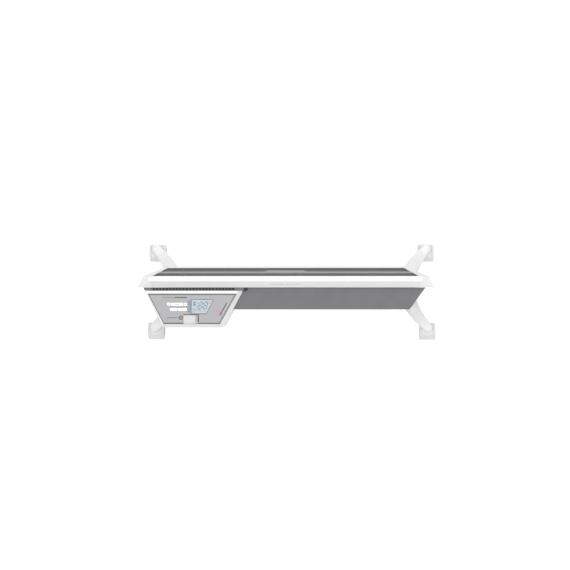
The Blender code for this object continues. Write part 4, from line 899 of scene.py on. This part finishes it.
def display():
    """Pale display behind a clear cover, with two digits, a degree ring and small symbols."""
    low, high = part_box("display_window")
    corners = on_panel(WINDOW_CORNERS)
    back = rounded(corners, WINDOW_ROUNDING, 2)
    top = high.z - DISPLAY_DROP
    add_piece("display_screen", slab(back, low.z, top), "display_glass", ("display_window",), LCD_PALE)
    cover = slab(back, top + DISPLAY_AIR, high.z)
    add_piece("display_cover", cover, "display_glass", ("display_window",), COVER)
    for name, bars, colour in DIGIT_BARS:
        digits = []
        for left in DIGIT_LEFTS:
            for outline in seven_segments(left, bars):
                digits.append([(x + DIGIT_SLANT * (y - DIGIT_BOTTOM), y) for x, y in outline])
        printed(name, digits, colour, top=top)
    printed_circle("display_degree", DEGREE_PLACE, DEGREE_RADII, 16, "display_glass", LCD_DIGIT, top)
    printed("display_level_bar", [rectangle(*ends) for ends in LEVEL_BLOCKS], LCD_BLUE, top=top)
    printed("display_symbols", [stroke(points, MARK_WIDTH) for points in MARKS], LCD_GREY, top=top)
    border = band(corners, BORDER_EDGES, PANEL_TOP, PANEL_TOP + INK)
    add_piece("display_border", border, "dark_grey_plastic", (), BORDER_GREY)


def light_bar():
    """Pale light guide with five blue lamps."""
    low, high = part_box("light_bar")
    guide_top = high.z - GUIDE_DROP
    guide = slab(rounded(rectangle(low, high), GUIDE_ROUNDING, 2), low.z, guide_top)
    add_piece("light_bar_guide", guide, "light_diffuser", ("light_bar",), GUIDE_BLUE)
    left, right = low.x + LAMP_MARGIN, high.x - LAMP_MARGIN
    middle_y = (low.y + high.y) / 2
    lamps = []
    for index in range(LAMP_COUNT):
        y = middle_y + (index - (LAMP_COUNT - 1) / 2) * LAMP_PITCH
        shape = rounded(rectangle((left, y - LAMP_HALF), (right, y + LAMP_HALF)), LAMP_MARGIN, 3)
        lamps.append(bevelled(slab(shape, guide_top - LAMP_SINK, high.z), LAMP_EDGE, 2))
    add_piece("light_bar_lamps", joined(lamps), "light_diffuser", ("light_bar",), LAMP_BLUE)


def panel_graphics():
    """The prints on the panel: thin lines, a plain round symbol with a bar, a slash and a warm-air mark."""
    for name, low, high, colour in PANEL_LINES:
        printed(name, [rectangle(low, high)], colour)
    printed_circle("panel_symbol_ring", SYMBOL_PLACE, SYMBOL_RADII, 32, "dark_grey_plastic", INK_DARK)
    printed("panel_symbol_dot", [ellipse(SYMBOL_PLACE, SYMBOL_DOT, SYMBOL_DOT, 20)], INK_DARK)
    printed("panel_symbol_bar", [rectangle(*SYMBOL_BAR)], INK_GREY)
    printed("panel_slash", [stroke(SLASH, SLASH_WIDTH)], INK_DARK)
    waves = []
    for shift, start, count in WAVES:
        points = []
        for step in range(start, start + count):
            y = WAVE_Y + step * WAVE_STEP
            swing = WAVE_SWING * sin(step * WAVE_TURN)
            points.append((WAVE_X + shift + WAVE_LEAN * (y - WAVE_Y) + swing, y))
        waves.append(stroke(points, WAVE_WIDTH))
    printed("panel_warm_mark", waves, INK_PINK)
    printed("panel_fine_line", [stroke(FINE_LINE, FINE_LINE_WIDTH)], INK_PALE)


def key_prints():
    """Small symbols printed on the keys, which move with them."""
    for key, outline, colour in KEY_PRINTS:
        low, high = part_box(key)
        shape = [(x + low.x - PANEL.x, y + low.y - PANEL.y) for x, y in outline]
        printed(f"{key}_print", [shape], colour, key, high.z)


def casing_prints():
    """Two short grey lines on the rear slope of the casing."""
    points = [vert.co for vert in frame["nodes"]["front_casing"].data.vertices]
    rear, top = max(point.y for point in points), max(point.z for point in points)
    foot = max(point.z for point in points if point.y > rear - NEAR)
    ridge = max(point.y for point in points if point.z > top - NEAR)
    slope = (top - foot) / (ridge - rear)
    y = rear + CASING_LINE_SHARE * (ridge - rear)
    place = (0.0, y, foot + (y - rear) * slope)
    half = CASING_LINE_HALF
    lines = [slab(rectangle((left, -half), (right, half)), 0.0, INK) for left, right in CASING_LINES]
    mesh = moved(joined(lines), place, Matrix.Rotation(atan(slope), 4, "X"))
    add_piece("casing_lines", mesh, "white_enamel", (), INK_PALE)


def ease(value, start, end):
    share = min(max((value - start) / (end - start), 0), 1)
    return share * share * (3 - 2 * share)


def squared(value):
    """Softens a sine or cosine towards a square wave, for a rounded-rectangle section."""
    return copysign(abs(value) ** 0.5, value)


def swivel_x(y):
    return REAR_SWIVEL.x if y > 0 else FRONT_SWIVEL.x


def leg_reach(y):
    """How far out the end of a leg's centre line lies from its middle."""
    return swivel_x(y) + LEG_END_REACH - LEG_MIDDLE_X


def leg_shape(side):
    """A bowed and arched leg with a rounded-rectangle section and rounded ends."""
    tips = [radians(LEG_TIP_DEGREES - LEG_TIP_DEGREES * step / LEG_TIP_STATIONS)
            for step in range(LEG_TIP_STATIONS)]
    stations = [(-1, tip) for tip in tips]
    stations += [(index / LEG_STATIONS - 1, 0) for index in range(2 * LEG_STATIONS + 1)]
    stations += [(1, tip) for tip in reversed(tips)]
    work = bmesh.new()
    rings = []
    for share, tip in stations:
        y = share * SWIVEL_Y
        slope = LEG_BOW * copysign(abs(share) ** (LEG_BOW - 1), share)
        along = Vector((slope * leg_reach(y) / SWIVEL_Y, 1)).normalized()
        across = Vector((along.y, -along.x))
        x = LEG_MIDDLE_X + leg_reach(y) * abs(y / SWIVEL_Y) ** LEG_BOW
        centre = Vector((x, y)) + along * (copysign(LEG_END_RADIUS, share) * sin(tip))
        half = (LEG_END_RADIUS + (LEG_MIDDLE_HALF - LEG_END_RADIUS) * (1 - abs(share))) * cos(tip)
        low = LEG_UNDER[0] + (LEG_UNDER[1] - LEG_UNDER[0]) * ease(abs(y), *LEG_UNDER_EASE)
        high = LEG_OVER[0] + (LEG_OVER[1] - LEG_OVER[0]) * ease(abs(y), *LEG_OVER_EASE)
        middle = (low + high) / 2
        rise = (high - low) / 2 * (LEG_TIP_HEIGHT + (1 - LEG_TIP_HEIGHT) * cos(tip))
        points = []
        for step in range(LEG_RING):
            angle = 2 * pi * (step + 0.5) / LEG_RING
            place = centre + across * (half * squared(cos(angle)))
            height = middle + rise * squared(sin(angle))
            points.append(work.verts.new((side * place.x, place.y + BODY_Y, height)))
        rings.append(points)
    for first, second in zip(rings, rings[1:]):
        for step in range(LEG_RING):
            after = (step + 1) % LEG_RING
            work.faces.new((first[step], first[after], second[after], second[step]))
    work.faces.new(rings[0])
    work.faces.new(rings[-1])
    bmesh.ops.recalc_face_normals(work, faces=work.faces)
    return finished(work)


def stepped_hole(radius, wide, step, low, high):
    return turned([(0, high), (radius, high), (radius, step), (wide, step), (wide, low), (0, low)], 24)


def legs():
    """Both legs, with sockets for the stems and sunk seats for the leg screws."""
    stem_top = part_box("caster_stem_rear_left")[1].z + GAP
    for name, side in (("leg_left", -1), ("leg_right", 1)):
        cutters = []
        for y in (-SWIVEL_Y, SWIVEL_Y):
            hole = stepped_hole(*STEM_BORES, LEG_BORE_STEP, BELOW_LEG, stem_top)
            cutters.append(moved(hole, (side * swivel_x(y), y + BODY_Y, 0)))
        for end in ("front", "rear"):
            low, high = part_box(f"{name.replace('leg', 'leg_screw')}_{end}")
            seat_radius = (high.x - low.x) / 2 + LEG_SCREW_ROOM
            hole = stepped_hole(LEG_SCREW_BORE, seat_radius, LEG_SCREW_SEAT, BELOW_LEG, ABOVE_LEG)
            cutters.append(moved(hole, ((low.x + high.x) / 2, (low.y + high.y) / 2, 0)))
        mesh = smooth(cut(leg_shape(side), *cutters), ROUND_DEGREES)
        add_piece(f"{name}_moulded", mesh, "white_leg_plastic", (name,))


def side_slab(points, low, high):
    """A flat outline in YZ, filled from X = low to X = high."""
    mesh = slab(points, low, high)
    mesh.transform(Matrix(((0, 0, 1, 0), (1, 0, 0, 0), (0, 1, 0, 0), (0, 0, 0, 1))))
    return mesh


def along_x(mesh):
    return moved(mesh, (0, 0, 0), Matrix.Rotation(radians(90), 4, "Y"))


def hood_mesh(axle_y, axle_z):
    """A caster's hood about its swivel, with two wheel wells, the stem's seat and two grooves on top."""
    outline = [
        (HOOD_Y[0], HOOD_Z[0]),
        (HOOD_Y[1], HOOD_Z[0]),
        (HOOD_Y[1], HOOD_Z[0] + HOOD_NOSE),
        (HOOD_Y[1] - HOOD_SLANT, HOOD_Z[1]),
        (HOOD_Y[0], HOOD_Z[1]),
    ]
    shell = bevelled(side_slab(rounded(outline, HOOD_ROUNDING, 6), -HOOD_HALF, HOOD_HALF), HOOD_EDGE, 5, 60)
    cutters = []
    for side in (-1, 1):
        well = turned([(0, WELL_DEPTH), (WELL_RADIUS, WELL_DEPTH), (WELL_RADIUS, 0.0), (0, 0.0)], 64)
        x = side * (HOOD_WEB + WELL_DEPTH / 2) - WELL_DEPTH / 2
        cutters.append(moved(along_x(well), (x, axle_y, axle_z)))
    bore, reach = AXLE_RADIUS + GAP, HOOD_WEB + AXLE_BORE_REACH
    axle_hole = along_x(turned([(0, reach), (bore, reach), (bore, -reach), (0, -reach)], 24))
    cutters.append(moved(axle_hole, (0, axle_y, axle_z)))
    cutters.append(stepped_hole(*STEM_BORES, *HOOD_BORE))
    for side in (-1, 1):
        x = side * GROOVE_X
        near = (x - GROOVE_HALF, HOOD_Y[0] - GROOVE_REACH, HOOD_Z[1] - GROOVE_DEPTH)
        cutters.append(block(near, (x + GROOVE_HALF, HOOD_Y[1] + GROOVE_REACH, HOOD_Z[1] + GROOVE_REACH)))
    return smooth(cut(shell, *cutters))


def wheel_profiles():
    """Profiles of a wheel's rolling ring and dished core, as radius and distance from the axle's middle."""
    outer, inner, rim = WHEEL_OUTER, WHEEL_INNER, WHEEL_RADIUS
    seat, dish = rim - TYRE_DEPTH, outer - 0.0022
    tyre = [
        (seat, outer - 0.0003),
        (rim - 0.0012, outer - 0.0002),
        (rim - 0.0003, outer - 0.0008),
        (rim, outer - 0.002),
        (rim, inner + 0.0018),
        (rim - 0.0003, inner + 0.0008),
        (rim - 0.0012, inner + 0.0002),
        (seat, inner + 0.0002),
    ]
    core = [
        (0, dish + 0.0012),
        (0.003, dish + 0.001),
        (0.0046, dish + 0.0002),
        (0.005, dish - 0.0004),
        (seat - 0.0026, dish - 0.0004),
        (seat - 0.0018, outer - 0.0006),
        (seat - 0.0001, outer - 0.0006),
        (seat - 0.0001, inner + 0.0004),
        (0.0026, inner + 0.0001),
        (0.0, inner + 0.0001),
    ]
    return tyre, core


def wheel_meshes():
    """The rolling rings and the cores with spokes of both wheels, about the axle's middle, with the axle."""
    tyre, core = wheel_profiles()
    tyres, cores = [], []
    for side in (-1, 1):
        flip = Matrix.Scale(side, 4, (0, 0, 1))
        tyres.append(moved(smooth(turned(tyre, 48, True)), (0, 0, 0), flip))
        cores.append(moved(smooth(turned(core, 48)), (0, 0, 0), flip))
        for index in range(SPOKES):
            near = (SPOKE_START, -SPOKE_HALF, WHEEL_OUTER - SPOKE_LOW)
            spoke = block(near, (WHEEL_RADIUS - SPOKE_END, SPOKE_HALF, WHEEL_OUTER - SPOKE_HIGH))
            turn = Matrix.Rotation(2 * pi * index / SPOKES, 4, "Z")
            cores.append(moved(bevelled(spoke, SPOKE_EDGE, 2), (0, 0, 0), flip @ turn))
    axle = [(0, WHEEL_INNER), (AXLE_RADIUS, WHEEL_INNER), (AXLE_RADIUS, -WHEEL_INNER), (0, -WHEEL_INNER)]
    cores.append(smooth(turned(axle, 24)))
    return joined(tyres), joined(cores)


def consistent(mesh):
    """The mesh with all its faces turned outwards."""
    work = bmesh.new()
    work.from_mesh(mesh)
    bmesh.ops.recalc_face_normals(work, faces=work.faces)
    work.to_mesh(mesh)
    work.free()
    return mesh


def casters():
    """Hoods that swivel and twin wheels that roll, at each of the four corners."""
    tyres, cores = (consistent(along_x(mesh)) for mesh in wheel_meshes())
    for corner in CORNERS:
        hood_node, node, body = f"caster_hood_{corner}", f"caster_wheels_{corner}", f"wheels_{corner}"
        low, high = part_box(node)
        axle = (low + high) / 2
        swivel = Vector((axle.x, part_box(hood_node)[0].y - HOOD_Y[0], 0))
        hood = moved(hood_mesh(axle.y - swivel.y, axle.z), swivel)
        add_piece(f"hood_{corner}", hood, "white_hood_plastic", (hood_node,), None, f"caster_{corner}")
        add_piece(f"tyres_{corner}", moved(tyres.copy(), axle), "wheel_plastic", (node,), TYRE_GREY, body)
        add_piece(f"wheel_cores_{corner}", moved(cores.copy(), axle), "wheel_plastic", (node,), None, body)


def screw_mesh(head, height, shank, length):
    """A pan-head screw with a cross recess, its head's seat at Z = 0 and its shank below."""
    profile = [(0, height)] + [(head * out, height * up) for out, up in SCREW_DOME]
    profile += [(head, 0.0), (shank, 0.0)]
    threads = int((length - 0.002) / SCREW_THREAD)
    for index in range(threads):
        z = -0.001 - index * SCREW_THREAD
        profile += [(shank * 0.86, z - 0.35 * SCREW_THREAD), (shank, z - 0.7 * SCREW_THREAD)]
    profile += [(shank * 0.8, -length + 0.0006), (0, -length)]
    arm, half, floor = head * 0.52, head * 0.1, height * 0.35
    cutters = [
        block((-arm, -half, floor), (arm, half, height * 2)),
        block((-half, -arm, floor), (half, arm, height * 2)),
    ]
    return smooth(cut(turned(profile, 24), *cutters), ROUND_DEGREES)


def screws():
    """Every visible screw, with its head where the CAD screw's head is."""
    for node in frame["nodes"]:
        for kind, (head, height, shank), axis, degrees in SCREW_KINDS:
            if not node.startswith(kind):
                continue
            low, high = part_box(node)
            length = high[axis] - low[axis] - height
            seat = (low + high) / 2
            seat[axis] = high[axis] - height if axis == 1 else low[axis] + height
            turn = Matrix.Rotation(radians(degrees), 4, "X")
            mesh = moved(screw_mesh(head, height, shank, length), seat, turn)
            add_piece(f"{node}_cross", mesh, "bright_steel", (node,))


def cable_gland():
    """Ribbed rubber grommet with an open bore, in the floor of the control unit."""
    low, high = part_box("cable_gland")
    middle = (low + high) / 2
    radius = (high.x - low.x) / 2
    seat = low.z + GLAND_FLANGE_Z
    profile = [
        (GLAND_BORE, high.z),
        (radius - 0.0012, high.z),
        (radius - 0.001, seat + GLAND_WALL),
        (GLAND_NECK, seat + GLAND_WALL),
        (GLAND_NECK, seat),
        (radius, seat),
        (radius, seat - GLAND_FLANGE),
    ]
    depth = seat - GLAND_FLANGE - low.z
    for index in range(GLAND_RIBS):
        z = seat - GLAND_FLANGE - depth * (index + 0.5) / GLAND_RIBS
        outer = radius - GLAND_TAPER * (index + 1) / GLAND_RIBS
        inner = outer - GLAND_RIB
        profile += [(inner, z + 0.0005), (inner, z + 0.0002), (outer, z), (outer, z - 0.0006)]
    profile += [(radius * 0.6, low.z), (GLAND_BORE, low.z)]
    gland = moved(smooth(consistent(turned(profile, 40, True))), (middle.x, middle.y, 0))
    add_piece("cable_gland_ribbed", gland, "black_rubber", ("cable_gland",))


def finish_cad_nodes():
    """Every CAD node that still shows gets its slot's detailed material."""
    for node, obj in frame["nodes"].items():
        if obj.hide_render:
            continue
        obj.data.materials.clear()
        obj.data.materials.append(finish[slot_of_node[node]])


# ---- Stage, light and camera ----


def stage():
    """Pale floor with a hint of texture and a glow, a white sky and one large soft light overhead."""
    work = bmesh.new()
    bmesh.ops.create_grid(work, x_segments=8, y_segments=8, size=FLOOR_HALF)
    floor = linked("floor", finished(work, "floor"))
    surface = Surface("floor_paint", (0.3, 0.3, 0.3), 0.85)
    surface.clouds(0.6, 3.0, 1.0, (0.29, 0.29, 0.29))
    surface.glow((1.0, 1.0, 1.0), FLOOR_GLOW)
    floor.data.materials.append(surface.done())
    world = bpy.data.worlds.new("studio")
    world.use_nodes = True
    bpy.context.scene.world = world
    sky = world.node_tree.nodes["Background"]
    sky.inputs["Color"].default_value = (1.0, 1.0, 1.0, 1.0)
    sky.inputs["Strength"].default_value = SKY_STRENGTH
    lamp = bpy.data.lights.new("overhead", "AREA")
    lamp.shape = "RECTANGLE"
    lamp.size, lamp.size_y = LIGHT_SIZE
    lamp.energy = LIGHT_POWER
    overhead = linked("overhead", lamp)
    overhead.location = LIGHT_PLACE
    overhead.rotation_euler = (LIGHT_AIM - LIGHT_PLACE).to_track_quat("-Z", "Y").to_euler()


def camera():
    lens = bpy.data.cameras.new("camera")
    lens.lens = CAMERA_LENS
    lens.sensor_width = CAMERA_SENSOR
    forward = (CAMERA_AIM - CAMERA_PLACE).normalized()
    right = forward.cross(CAMERA_UP).normalized()
    up = right.cross(forward)
    turn = Matrix((right, up, -forward)).transposed().to_4x4()
    obj = linked("camera", lens)
    obj.matrix_world = Matrix.Translation(CAMERA_PLACE) @ turn
    lens.clip_end = 100.0
    bpy.context.scene.camera = obj
    bpy.context.scene.view_settings.view_transform = "Standard"


refine_shells()
vent_strip()
unit_corner_shadow()
outlet_screen()
panel_groove_shade()
display()
light_bar()
panel_graphics()
key_prints()
casing_prints()
legs()
casters()
screws()
cable_gland()
finish_cad_nodes()
stage()
camera()

bpy.context.view_layer.update()
